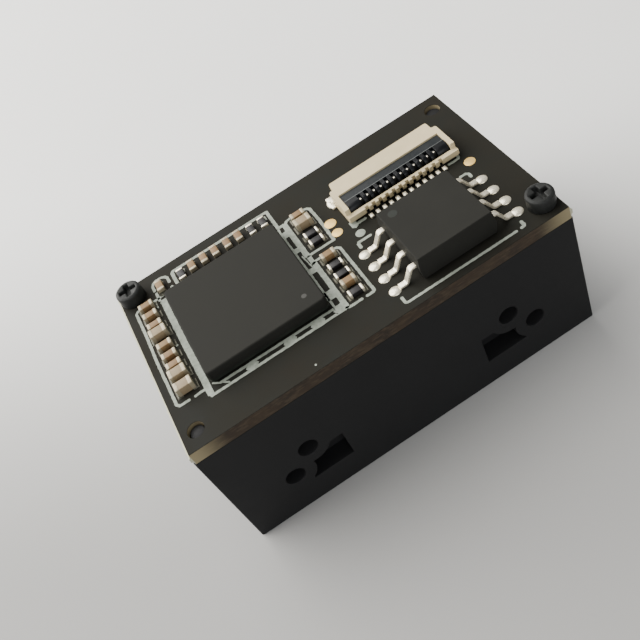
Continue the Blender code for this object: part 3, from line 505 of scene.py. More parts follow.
@dataclass(frozen=True)
class Finish:
    """An opaque surface: two tones, its gloss, its grain and its specks."""

    name: str
    colour: Colour
    second: Colour
    roughness: float
    rough_spread: float = 0.1
    metallic: float = 0.0
    blotch: float = 1.2 * MM
    grain: float = 0.05 * MM
    depth: float = 0.002 * MM
    wave: float = 0.3
    speck: Colour | None = None
    speck_spacing: float = 0.4 * MM
    speck_share: float = 0.08
    coat: float = 0.0
    coat_roughness: float = 0.25
    specular: float = 0.2

    def build(self) -> bpy.types.Material:
        """Makes the material.

        Returns:
            The material.
        """
        material, tree, shader, place = open_material(self.name)
        tone = use_group(
            tree, blotch_group(), Vector=place, Colour=(*self.colour, 1.0), Second=(*self.second, 1.0),
            Size=self.blotch,
        )
        colour = self.pattern(tree, place, tone.outputs["Colour"])
        if self.speck:
            specks = use_group(
                tree, speck_group(), Vector=place, Spacing=self.speck_spacing, Share=self.speck_share,
            )
            colour = mixed(tree, specks.outputs["Mask"], colour, self.speck)
        tree.links.new(colour, shader.inputs["Base Color"])
        gloss = ramped(
            tree, tone.outputs["Mask"], 0.0, 1.0, To_Min=max(0.02, self.roughness - self.rough_spread),
            To_Max=min(1.0, self.roughness + self.rough_spread),
        )
        tree.links.new(gloss, shader.inputs["Roughness"])
        grain = use_group(
            tree, grain_group(), Vector=place, Size=self.grain, Depth=self.depth, Wave=self.wave
        )
        tree.links.new(grain.outputs["Normal"], shader.inputs["Normal"])
        shader.inputs["Metallic"].default_value = self.metallic
        shader.inputs["Coat Weight"].default_value = self.coat
        shader.inputs["Coat Roughness"].default_value = self.coat_roughness
        shader.inputs["Specular IOR Level"].default_value = self.specular
        return material

    def pattern(self, tree: Tree, place: Socket, colour: Socket) -> Socket:
        """Lays the finish's own pattern over its tone. The plain finish has none."""
        return colour


@dataclass(frozen=True)
class Laminate(Finish):
    """Cut glass-fibre laminate, with its layers of cloth showing as thin bands."""

    layer: float = 0.13 * MM
    bundle: float = 4.0
    cloth: Point = (0.48, 0.66)
    band: Colour = (0.3, 0.26, 0.16)
    frayed: Point = (10.2 * MM, 12.9 * MM)
    fray: Colour = (0.24, 0.20, 0.115)

    def pattern(self, tree: Tree, place: Socket, colour: Socket) -> Socket:
        """Adds pale bands of fibre, and a paler tone near the ends, where the board was torn off.

        Args:
            tree: The material's node tree.
            place: Object coordinates.
            colour: The tone so far.

        Returns:
            The banded colour.
        """
        thin = 1 / self.layer
        wide = thin / self.bundle
        bundles = add_node(tree, "ShaderNodeMapping", Vector=place, Scale=(wide, wide, thin))
        cloth = add_node(
            tree, "ShaderNodeTexNoise", Vector=bundles.outputs[0], Scale=1.0, Detail=2.0, Roughness=0.5
        )
        banded = mixed(tree, ramped(tree, cloth.outputs["Fac"], *self.cloth), colour, self.band)
        along = add_node(tree, "ShaderNodeSeparateXYZ", Vector=place).outputs["X"]
        out = worked_out(tree, "ABSOLUTE", along)
        end = ramped(tree, out, *self.frayed, interpolation_type="SMOOTHSTEP")
        return mixed(tree, end, banded, self.fray)


@dataclass(frozen=True)
class Latched(Finish):
    """The latch's plastic, with painted light: a lighter front strip where light falls on the flat plate,
    and a painted highlight line where the strip ends.
    """

    line: float = 2.06 * MM
    line_half: float = 0.035 * MM
    line_fade: float = 1.8
    # painted light: the front strip's lighter tone, where light falls on the flat plate
    strip: Colour = (0.0150, 0.0172, 0.0185)
    # painted highlight: a light line along the strip's edge
    painted_highlight: Colour = (0.16, 0.17, 0.165)

    def pattern(self, tree: Tree, place: Socket, colour: Socket) -> Socket:
        """Lays the painted lighter strip and the painted highlight line over the tone.

        Args:
            tree: The material's node tree.
            place: Object coordinates.
            colour: The tone so far.

        Returns:
            The colour with the strip and the line.
        """
        across = add_node(tree, "ShaderNodeSeparateXYZ", Vector=place).outputs["Y"]
        half = self.line_half
        strip = ramped(tree, across, self.line - half, self.line + half)
        away = worked_out(tree, "ABSOLUTE", worked_out(tree, "SUBTRACT", across, self.line))
        line = ramped(tree, away, half, self.line_fade * half, To_Min=1.0, To_Max=0.0)
        # the lighter strip and the line are painted light
        laid = mixed(tree, strip, colour, self.strip)
        return mixed(tree, line, laid, self.painted_highlight)


@dataclass(frozen=True)
class Backdrop(Finish):
    """A pale sheet with painted shade that darkens it towards the viewer, where less of the soft light
    reaches.
    """

    far: float = 28 * MM
    near: float = -16 * MM
    heading: Point = (0.48, 0.88)
    # painted shade: the colour that the sheet darkens to near the viewer
    dim: Colour = (0.32, 0.315, 0.305)

    def pattern(self, tree: Tree, place: Socket, colour: Socket) -> Socket:
        """Paints shade on the sheet along its heading.

        Args:
            tree: The material's node tree.
            place: Object coordinates.
            colour: The tone so far.

        Returns:
            The colour, dimmed towards the viewer.
        """
        along = add_node(tree, "ShaderNodeVectorMath", operation="DOT_PRODUCT")
        feed(tree, along.inputs[0], place)
        feed(tree, along.inputs[1], (*self.heading, 0.0))
        value = along.outputs["Value"]
        share = ramped(tree, value, self.far, self.near, interpolation_type="SMOOTHSTEP")
        return mixed(tree, share, colour, self.dim)


@dataclass(frozen=True)
class Clear:
    """A clear or tinted glass or plastic."""

    name: str
    colour: Colour
    roughness: float = 0.02
    ior: float = 1.5
    coat: float = 0.3
    coat_roughness: float = 0.03
    drift: float = 0.97
    blotch: float = 2 * MM
    grain: float = 0.6 * MM
    depth: float = 0.0004 * MM

    def build(self) -> bpy.types.Material:
        """Makes the material.

        Returns:
            The material.
        """
        material, tree, shader, place = open_material(self.name)
        tone = use_group(
            tree, blotch_group(), Vector=place, Colour=(*self.colour, 1.0),
            Second=(*(self.drift * part for part in self.colour), 1.0), Size=self.blotch,
        )
        grain = use_group(
            tree, grain_group(), Vector=place, Size=self.grain, Depth=self.depth, Wave=0.0
        )
        tree.links.new(tone.outputs["Colour"], shader.inputs["Base Color"])
        tree.links.new(grain.outputs["Normal"], shader.inputs["Normal"])
        shader.inputs["Roughness"].default_value = self.roughness
        shader.inputs["IOR"].default_value = self.ior
        shader.inputs["Transmission Weight"].default_value = 1.0
        shader.inputs["Coat Weight"].default_value = self.coat
        shader.inputs["Coat Roughness"].default_value = self.coat_roughness
        return material


class Palette:
    """Every material of the module, each made once."""

    def __init__(self) -> None:
        """Makes the materials."""
        self.make_board()
        self.make_metals()
        self.make_chips()
        self.make_mouldings()
        self.make_optics()

    def make_board(self) -> None:
        """The board's mask, laminate, print and pads."""
        self.mask = Finish(
            "dark_solder_mask", (0.0128, 0.0132, 0.0108), (0.0176, 0.0160, 0.0122), 0.68,
            blotch=3.4 * MM, grain=0.11 * MM, depth=0.0016 * MM, wave=1.2, speck=(0.036, 0.034, 0.028),
            speck_spacing=1.3 * MM, speck_share=0.05, specular=0.06,
        ).build()
        self.laminate = Laminate(
            "routed_laminate", (0.022, 0.0165, 0.012), (0.044, 0.031, 0.020), 0.75, blotch=1.6 * MM,
            grain=0.03 * MM, depth=0.006 * MM, band=(0.054, 0.039, 0.025),
        ).build()
        self.snapped = Laminate(
            "snapped_laminate", (0.32, 0.33, 0.25), (0.42, 0.42, 0.33), 0.75, blotch=0.35 * MM,
            grain=0.02 * MM, depth=0.008 * MM, band=(0.48, 0.48, 0.38), fray=(0.42, 0.41, 0.30),
        ).build()
        self.ink = Finish(
            "printed_ink", (0.30, 0.325, 0.275), (0.20, 0.22, 0.18), 0.6, blotch=0.28 * MM,
            grain=0.03 * MM, depth=0.002 * MM,
        ).build()
        self.dim_ink = Finish(
            "worn_ink", (0.034, 0.033, 0.029), (0.046, 0.045, 0.04), 0.6, blotch=0.2 * MM,
            grain=0.03 * MM, depth=0.002 * MM,
        ).build()
        self.gold = Finish(
            "gold_flash", (0.82, 0.56, 0.19), (0.70, 0.46, 0.14), 0.36, metallic=0.35, blotch=0.3 * MM,
            grain=0.06 * MM, depth=0.002 * MM,
        ).build()

    def make_metals(self) -> None:
        """Tinned leads, solder, plated chip ends and the screws."""
        self.tin = Finish(
            "bright_tin", (0.93, 0.86, 0.68), (0.74, 0.67, 0.52), 0.32, metallic=0.62, blotch=0.25 * MM,
            grain=0.05 * MM, depth=0.002 * MM, specular=0.5,
        ).build()
        self.solder = Finish(
            "solder", (0.96, 0.89, 0.70), (0.76, 0.70, 0.54), 0.3, metallic=0.6, blotch=0.18 * MM,
            grain=0.12 * MM, depth=0.004 * MM, specular=0.5,
        ).build()
        # painted shade: solder darkened to stand in for the shade around the small chips
        self.shaded_solder = Finish(
            "shaded_solder", (0.12, 0.115, 0.085), (0.05, 0.047, 0.035), 0.4, metallic=0.4,
            blotch=0.14 * MM, grain=0.06 * MM, depth=0.004 * MM,
        ).build()
        # painted shade: the contacts' tin darkened to near black, for the shade inside the latch's slots
        self.shaded_tin = Finish(
            "shaded_spring_contact_tin", (0.0065, 0.007, 0.0078), (0.010, 0.0105, 0.0112), 0.4, metallic=0.1,
            blotch=0.25 * MM, grain=0.05 * MM, depth=0.002 * MM,
        ).build()
        self.terminal = Finish(
            "chip_terminal", (0.38, 0.325, 0.225), (0.30, 0.255, 0.17), 0.42, metallic=0.3,
            blotch=0.3 * MM, grain=0.04 * MM, depth=0.003 * MM, specular=0.4,
        ).build()
        self.screw = Finish(
            "black_oxide_steel", (0.0105, 0.011, 0.0102), (0.0175, 0.0183, 0.017), 0.58,
            blotch=0.35 * MM, grain=0.06 * MM, depth=0.003 * MM, wave=0.9,
        ).build()

    def make_chips(self) -> None:
        """Ceramics, glaze, moulding compound and the package's carrier."""
        self.ceramic = Finish(
            "fired_ceramic", (0.165, 0.092, 0.042), (0.235, 0.155, 0.075), 0.5, blotch=2.2 * MM,
            grain=0.03 * MM, depth=0.002 * MM,
        ).build()
        self.pale_ceramic = Finish(
            "pale_ceramic", (0.23, 0.175, 0.105), (0.28, 0.215, 0.13), 0.5, blotch=1.4 * MM,
            grain=0.03 * MM, depth=0.002 * MM,
        ).build()
        self.glaze = Finish(
            "resistor_glaze", (0.010, 0.0095, 0.0105), (0.021, 0.019, 0.019), 0.42, blotch=0.3 * MM,
            grain=0.05 * MM, depth=0.002 * MM,
        ).build()
        self.epoxy = Finish(
            "moulded_epoxy", (0.0178, 0.0175, 0.0152), (0.0214, 0.0210, 0.0182), 0.72,
            rough_spread=0.06, blotch=3.0 * MM, grain=0.035 * MM, depth=0.002 * MM,
            speck=(0.036, 0.036, 0.031), speck_spacing=0.16 * MM, speck_share=0.06, specular=0.06,
        ).build()
        self.substrate = Finish(
            "package_substrate", (0.009, 0.011, 0.009), (0.013, 0.015, 0.011), 0.45, blotch=0.5 * MM,
        ).build()

    def make_mouldings(self) -> None:
        """The housing, and the connector's insulator and latch."""
        self.housing = Finish(
            "spark_textured_black", (0.0112, 0.0112, 0.0114), (0.0145, 0.0145, 0.0147), 0.6,
            blotch=3.5 * MM, grain=0.045 * MM, depth=0.003 * MM, speck=(0.022, 0.022, 0.021),
            speck_spacing=0.9 * MM, speck_share=0.035, specular=0.12,
        ).build()
        self.cream = Finish(
            "cream_moulding", (0.60, 0.50, 0.31), (0.52, 0.43, 0.26), 0.5, rough_spread=0.06,
            blotch=1.6 * MM, grain=0.06 * MM, depth=0.0015 * MM, wave=0.8,
        ).build()
        self.latch = Latched(
            "latch_moulding", (0.0042, 0.0046, 0.0054), (0.0060, 0.0066, 0.0078), 0.34, blotch=1.4 * MM,
            grain=0.05 * MM, depth=0.0012 * MM,
        ).build()

    def make_optics(self) -> None:
        """The optics: plastics, rubber, silicon, light sources and glass."""
        self.optics = Finish(
            "black_optics_plastic", (0.008, 0.008, 0.009), (0.011, 0.011, 0.012), 0.4, blotch=1.5 * MM,
        ).build()
        self.rubber = Finish(
            "gasket_rubber", (0.010, 0.010, 0.010), (0.016, 0.016, 0.015), 0.8, grain=0.07 * MM,
            depth=0.005 * MM,
        ).build()
        self.silicon = Finish(
            "sensor_silicon", (0.05, 0.065, 0.095), (0.07, 0.05, 0.09), 0.14, rough_spread=0.04,
            blotch=2.0 * MM, grain=0.02 * MM, depth=0.0006 * MM, coat=0.6, specular=0.5,
        ).build()
        self.led = Finish(
            "led_ceramic", (0.76, 0.74, 0.66), (0.82, 0.78, 0.55), 0.5, blotch=0.8 * MM,
        ).build()
        self.diode = Finish(
            "diode_can", (0.80, 0.60, 0.30), (0.70, 0.50, 0.24), 0.28, metallic=1.0, blotch=0.5 * MM,
        ).build()
        self.window = Clear("window_glass", (0.93, 0.96, 0.96), roughness=0.015, ior=1.52).build()
        self.lens = Clear("coated_lens", (0.92, 0.95, 0.99), ior=1.6, coat=0.8).build()
        self.filter = Clear("tinted_filter", (0.55, 0.82, 0.86), ior=1.52).build()
        self.pipe = Clear("light_pipe", (0.95, 0.96, 0.94), roughness=0.06, ior=1.49).build()


# -------------------------------------------------------------- the housing


@dataclass
class Housing:
    """The moulded housing, with soft edges on its front, its top and its underside."""

    rim_round: float = 0.05 * MM
    near: float = 0.01 * MM

    def build(self, palette: Palette) -> None:
        """Makes the housing in place of its node.

        Args:
            palette: The module's materials.
        """
        mesh = copied("housing")
        low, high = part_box("housing")

        def on_skin(edge: bmesh.types.BMEdge) -> bool:
            """Whether an edge lies on the outer skin."""
            points = [vert.co for vert in edge.verts]
            planes = ((1, low.y), (2, low.z), (2, high.z))
            return any(all(abs(co[axis] - at) < self.near for co in points) for axis, at in planes)

        round_edges(mesh, self.rim_round, 2, 40.0, on_skin, clamp=False)
        finished("housing_shell", mesh, palette.housing, stands_for=("housing",))


# ---------------------------------------------------------------- the board


@dataclass(frozen=True)
class Stroke:
    """A printed line: its centreline on the board, in millimetres, and its width."""

    path: tuple[Point, ...]
    width: float = 0.2


STROKES = (
    # frame round the column of capacitors
    Stroke(
        (
            (-10.2, 4.95), (-11.9, 4.95), (-12.05, 4.78), (-12.06, 2.4), (-12.13, 0.2), (-12.13, -3.9),
            (-11.98, -4.08), (-11.35, -4.08),
        ),
        0.19,
    ),
    Stroke(((-10.95, -4.08), (-10.3, -4.06)), 0.19),
    Stroke(((-10.74, 4.82), (-10.63, 4.6), (-10.6, 4.2)), 0.09),
    # left side of the processor's frame
    Stroke(((-10.12, 4.4), (-10.13, 0.2), (-10.11, -1.8), (-10.08, -4.6)), 0.42),
    Stroke(((-10.2, 4.47), (-9.9, 4.47)), 0.36),
    Stroke(((-10.31, 5.5), (-10.31, 4.7)), 0.19),
    Stroke(((-10.03, 5.1), (-10.03, 4.95)), 0.19),
    # arc round the single capacitor
    Stroke(
        (
            (-10.34, 5.78), (-10.34, 6.25), (-10.22, 6.5), (-10.0, 6.62), (-9.6, 6.62), (-9.34, 6.5),
            (-9.22, 6.28), (-9.21, 5.78),
        ),
        0.2,
    ),
    # frame round the row behind the processor
    Stroke(((-8.8, 5.28), (-8.8, 6.38), (-8.68, 6.53), (-1.4, 6.53), (-1.4, 4.45), (-1.0, 4.45)), 0.24),
    Stroke(((-8.0, 6.12), (-8.02, 5.85)), 0.1),
    Stroke(((-1.68, 6.2), (-1.68, 5.85)), 0.1),
    # right side of the processor's frame
    Stroke(((-1.46, 4.3), (-1.46, -4.7)), 0.14),
    Stroke(((-0.94, 4.3), (-0.94, 0.75)), 0.38),
    Stroke(((-0.9, 0.6), (-0.9, -0.1)), 0.3),
    Stroke(((-0.86, -0.15), (-0.86, -4.7)), 0.34),
    Stroke(((-1.4, 3.52), (-1.1, 3.52)), 0.62),
    Stroke(((-1.4, 1.66), (-1.1, 1.66)), 0.46),
    Stroke(((-1.4, -0.62), (-1.05, -0.62)), 0.5),
    Stroke(((-1.4, -3.16), (-1.05, -3.16)), 0.8),
    Stroke(((-1.4, -4.48), (-1.05, -4.48)), 0.62),
    Stroke(((-1.22, 0.95), (-1.1, -0.3)), 0.1),
    # upper group
    Stroke(((-0.9, 4.35), (-0.72, 4.6), (-0.4, 4.66)), 0.21),
    Stroke(((0.6, 4.66), (0.85, 4.6), (1.01, 4.4), (1.05, 3.2), (1.0, 0.68), (-1.0, 0.68)), 0.21),
    # lower group
    Stroke(((-0.95, -0.14), (-0.7, -0.03), (-0.3, -0.02)), 0.2),
    Stroke(((0.55, 0.0), (0.82, -0.05), (0.98, -0.25), (1.0, -4.76), (0.9, -4.83), (0.46, -4.83)), 0.2),
    Stroke(((-0.92, -4.74), (-0.7, -4.83), (0.12, -4.82)), 0.2),
    # front side of the processor's frame
    Stroke(((-10.1, -4.77), (-1.0, -4.77)), 0.2),
    Stroke(((-9.3, -4.27), (-1.5, -4.27)), 0.19),
    Stroke(((-9.72, -3.98), (-9.3, -4.3)), 0.13),
    Stroke(((-9.15, -4.35), (-8.85, -4.6)), 0.13),
    Stroke(((-7.5, -4.52), (-7.0, -4.52)), 0.4),
    Stroke(((-4.94, -4.52), (-4.4, -4.52)), 0.4),
    Stroke(((-3.08, -4.52), (-2.46, -4.52)), 0.4),
    # corners of the flat-cable connector
    Stroke(((2.58, 1.1), (2.58, 0.7)), 0.46),
    Stroke(((2.7, 0.78), (3.4, 0.78)), 0.22),
    Stroke(((9.7, 0.78), (10.4, 0.78), (10.5, 0.9), (10.52, 1.16)), 0.19),
    # frame round the memory chip
    Stroke(((2.01, -1.22), (2.01, -0.84), (2.1, -0.73), (2.95, -0.73)), 0.21),
    Stroke(((9.6, -0.73), (9.98, -0.75), (10.13, -0.9), (10.1, -1.22)), 0.2),
    Stroke(((1.94, -6.42), (1.94, -6.88), (2.04, -6.96), (9.5, -6.96)), 0.18),
    Stroke(((9.84, -6.96), (10.05, -6.92), (10.1, -6.8), (10.1, -6.52)), 0.2),
)
INK_DOTS = ((-9.21, 5.27, 0.12), (2.55, -0.1, 0.33), (-4.2, -7.1, 0.07), (-10.6, 0.33, 0.09))
GOLD_PADS = ((1.45, 2.12, 0.41), (1.45, 1.07, 0.37), (10.78, 0.0, 0.38))


@dataclass
class Board:
    """The circuit board: laminate core, solder mask, snapped ends, pads and print."""

    mask_thickness: float = 0.035 * MM
    ridge: float = 0.2 * MM
    web_step: float = 0.16 * MM
    web_profile: tuple[Point, ...] = (
        (0.0, -1.0), (0.45, -0.42), (0.9, -0.3), (0.8, 0.0), (0.9, 0.3), (0.45, 0.42), (0.0, 1.0)
    )  # shares of the web's reach, and of half its height
    tear_start: float = 0.1
    tear_sizes: Point = (0.22 * MM, 0.3 * MM)
    tear_depth: Point = (0.72, 0.42)
    tear_lift: float = 0.05 * MM
    pad_height: float = 0.016 * MM
    disc_steps: int = 40
    ink_height: float = 0.012 * MM
    ink_stagger: float = 0.0006 * MM
    ink_levels: int = 7
    ink_step: float = 0.11 * MM
    ink_ragged: float = 0.028 * MM
    ink_wave: float = 0.16 * MM
    ink_run_on: float = 0.9
    ink_end: float = 0.49
    ink_corner: float = 0.3

    def __post_init__(self) -> None:
        """Reads the board's planes from the frame."""
        self.low, self.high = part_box("main_board")
        self.edge = self.high.x - self.ridge
        self.top = self.high.z

    def build(self, palette: Palette) -> None:
        """Makes every piece of the bare board.

        Args:
            palette: The module's materials.
        """
        finished("board_core", self.core(), palette.laminate, stands_for=("main_board",))
        finished("mask_top", self.film(1), palette.mask)
        finished("mask_bottom", self.film(-1), palette.mask)
        for name, side in (("left", -1), ("right", 1)):
            finished(f"snapped_end_{name}", self.snapped_end(side), palette.snapped)
        for number, (x, y, radius) in enumerate(GOLD_PADS, 1):
            pad = self.disc(x * MM, y * MM, radius * MM, self.pad_height)
            finished(f"test_pad_{number}", pad, palette.gold)
        finished("printed_lines", self.print_lines(), palette.ink)
        for number, (x, y, radius) in enumerate(INK_DOTS, 1):
            dot = self.disc(x * MM, y * MM, radius * MM, self.ink_height)
            finished(f"printed_dot_{number}", dot, palette.ink)

    def slab(self, low: float, high: float) -> Shape:
        """The part of the board between two heights, cut off at the snapped ends.

        Args:
            low: The lower height.
            high: The upper height.

        Returns:
            The shape, with the board's holes.
        """
        mesh = copied("main_board")
        keep_side(mesh, (-self.edge, 0, 0), (1, 0, 0))
        keep_side(mesh, (self.edge, 0, 0), (-1, 0, 0))
        if low > self.low.z:
            keep_side(mesh, (0, 0, low), (0, 0, 1))
        if high < self.high.z:
            keep_side(mesh, (0, 0, high), (0, 0, -1))
        return mesh

    def core(self) -> Shape:
        """The laminate between the two films of mask."""
        return self.slab(self.low.z + self.mask_thickness, self.top - self.mask_thickness)

    def film(self, side: int) -> Shape:
        """A film of solder mask.

        Args:
            side: 1 for the top film, -1 for the bottom one.

        Returns:
            The shape.
        """
        thickness = self.mask_thickness - HIDDEN_GAP
        if side > 0:
            return self.slab(self.top - thickness, self.top)
        return self.slab(self.low.z, self.low.z + thickness)

    def snapped_end(self, side: int) -> Shape:
        """The torn web along a short end, extruded from its profile with a ragged tip.

        Args:
            side: 1 for the right end, -1 for the left one.

        Returns:
            The shape.
        """
        reach = self.high.x - self.edge
        middle = (self.low.z + self.top) / 2
        half = (self.top - self.low.z) / 2 - self.mask_thickness
        mesh = bmesh.new()
        outline = [
            mesh.verts.new((side * (self.edge + out * reach), self.low.y, middle + up * half))
            for out, up in self.web_profile
        ]
        face = mesh.faces.new(outline)
        rows = round((self.high.y - self.low.y) / self.web_step)
        for row in range(1, rows + 1):
            grown = bmesh.ops.extrude_face_region(mesh, geom=[face])["geom"]
            face = next(item for item in grown if isinstance(item, bmesh.types.BMFace))
            for vert in face.verts:
                vert.co.y = self.low.y + (self.high.y - self.low.y) * row / rows
        fine, coarse = self.tear_sizes
        kept, torn = self.tear_depth
        for vert in mesh.verts:
            out = abs(vert.co.x) - self.edge
            if out > self.tear_start * reach:
                tear = noise.noise(vert.co / fine) * 0.5 + 0.5
                vert.co.x = side * (self.edge + min(reach, out * (kept + torn * tear)))
                vert.co.z += noise.noise(vert.co / coarse) * self.tear_lift
        bmesh.ops.remove_doubles(mesh, verts=mesh.verts, dist=MERGE)
        return mesh

    def disc(self, x: float, y: float, radius: float, height: float) -> Shape:
        """A thin disc on the board with a rounded rim.

        Args:
            x: Its centre along X.
            y: Its centre along Y.
            radius: Its radius.
            height: How high it stands.

        Returns:
            The shape.
        """
        base = self.top + HIDDEN_GAP / 2
        rim = arc((radius - height, base), height, 0, 90, 3)
        return lathe([(0, base), *rim, (0, base + height)], (x, y), self.disc_steps)

    def print_lines(self) -> Shape:
        """Every printed line, as thin raised strips with ragged edges.

        Returns:
            The shape.
        """
        strips = [
            (Vector(start) * MM, Vector(end) * MM, stroke.width * MM)
            for stroke in STROKES
            for start, end in zip(stroke.path, stroke.path[1:])
        ]
        mesh = bmesh.new()
        for count, strip in enumerate(strips, 1):
            height = self.ink_height + (count % self.ink_levels) * self.ink_stagger
            self.add_strip(mesh, *strip, height)
        return mesh

    def add_strip(self, mesh: Shape, start: Vector, end: Vector, width: float, height: float) -> None:
        """Adds one straight printed strip, with both ends run on by half its width.

        Args:
            mesh: The shape that it is added to.
            start: One end of its centreline.
            end: The other end.
            width: Its width.
            height: Its thickness.
        """
        along = (end - start).normalized()
        across = Vector((-along.y, along.x))
        length = (end - start).length + self.ink_run_on * width
        middle = (start + end) / 2
        base = self.top + HIDDEN_GAP / 2
        ahead, aside = along * length / 2, across * width / 2
        rows = ((ahead.x, aside.x, 0, middle.x), (ahead.y, aside.y, 0, middle.y), (0, 0, 1, base))
        place = Matrix((*rows, (0, 0, 0, 1)))
        steps = max(2, round(length / self.ink_step))
        strip = bmesh.new()
        bmesh.ops.create_grid(strip, x_segments=steps, y_segments=2, size=1.0, matrix=place)
        for vert in strip.verts:
            side = (vert.co.xy - middle).dot(across)
            outer = abs(side) > width / 4  # not the middle row
            if outer:
                shake = noise.noise(vert.co / self.ink_wave) * self.ink_ragged
                vert.co.xy += across * shake * math.copysign(1, side)
            run = (vert.co.xy - middle).dot(along)
            if outer and abs(run) > self.ink_end * length:
                vert.co.xy -= along * math.copysign(self.ink_corner * width, run)
        grown = bmesh.ops.extrude_face_region(strip, geom=list(strip.faces))["geom"]
        lifted = [item for item in grown if isinstance(item, bmesh.types.BMVert)]
        bmesh.ops.translate(strip, verts=lifted, vec=(0, 0, height))
        add_to(mesh, strip)


# --------------------------------------------------------------- the screws


@dataclass
class BoardScrew:
    """A pan-head screw with a cross recess."""

    node: str
    edge_round: float = 0.07 * MM

    def build(self, palette: Palette) -> None:
        """Makes the screw in place of its node.

        Args:
            palette: The module's materials.
        """
        mesh = copied(self.node)
        round_edges(mesh, self.edge_round, 2, 30.0, self.is_rim)
        finished(f"{self.node}_finished", mesh, palette.screw, stands_for=(self.node,))

    def is_rim(self, edge: bmesh.types.BMEdge) -> bool:
        """Whether an edge belongs to the head."""
        return min(vert.co.z for vert in edge.verts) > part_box("main_board")[1].z


# ---------------------------------------------------------------- the chips


@dataclass
class Processor:
    """The ball-grid package: mould cap, substrate, balls and a pin-1 dot."""

    substrate: float = 0.2 * MM
    standoff: float = 0.16 * MM
    edge_round: float = 0.05 * MM
    ball_pitch: float = 0.65 * MM
    ball_radius: float = 0.15 * MM
    ball_rows: int = 2
    dot: Place = (3.08 * MM, -3.05 * MM, 0.17 * MM)
    dot_thickness: float = 0.02 * MM
    rim_reach: float = 0.1 * MM

    def build(self, palette: Palette) -> None:
        """Makes the package in place of its node.

        Args:
            palette: The module's materials.
        """
        low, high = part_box("processor")
        base = low.z + self.standoff
        cap = copied("processor")
        keep_side(cap, (0, 0, base + self.substrate), (0, 0, 1))
        round_edges(cap, self.edge_round, 3, 30.0, self.is_rim)
        finished("processor_cap", cap, palette.epoxy, stands_for=("processor",))
        carrier = copied("processor")
        keep_side(carrier, (0, 0, base), (0, 0, 1))
        keep_side(carrier, (0, 0, base + self.substrate - HIDDEN_GAP), (0, 0, -1))
        finished("processor_substrate", carrier, palette.substrate)
        centre = (low + high) / 2
        finished("processor_balls", self.balls(low, high), palette.solder, sharp=180)
        x, y, radius = self.dot
        top = high.z + HIDDEN_GAP / 4
        foot = top - self.dot_thickness
        profile = [(0, foot), (radius, foot), (radius, top), (0, top)]
        mark = lathe(profile, (centre.x + x, centre.y + y), MARK_STEPS)
        finished("processor_pin_mark", mark, palette.dim_ink)

    def balls(self, low: Vector, high: Vector) -> Shape:
        """The outer rows of solder balls, squeezed between the carrier and the board.

        Args:
            low: The package's lowest corner.
            high: Its highest corner.

        Returns:
            The shape.
        """
        mesh = bmesh.new()
        centre = (low + high) / 2
        squeeze = Matrix.Diagonal((1, 1, self.standoff / 2 / self.ball_radius, 1))
        count = int((high.x - low.x) / self.ball_pitch)
        steps = [((i - (count - 1) / 2) * self.ball_pitch, min(i, count - 1 - i)) for i in range(count)]
        for y, row in steps:
            for x, column in steps:
                if min(row, column) >= self.ball_rows:
                    continue
                place = Matrix.Translation((centre.x + x, centre.y + y, low.z + self.standoff / 2))
                bmesh.ops.create_icosphere(
                    mesh, subdivisions=1, radius=self.ball_radius, matrix=place @ squeeze
                )
        return mesh

    def is_rim(self, edge: bmesh.types.BMEdge) -> bool:
        """Whether an edge is part of the cap's upper rim."""
        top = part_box("processor")[1].z
        return all(vert.co.z > top - self.rim_reach for vert in edge.verts)


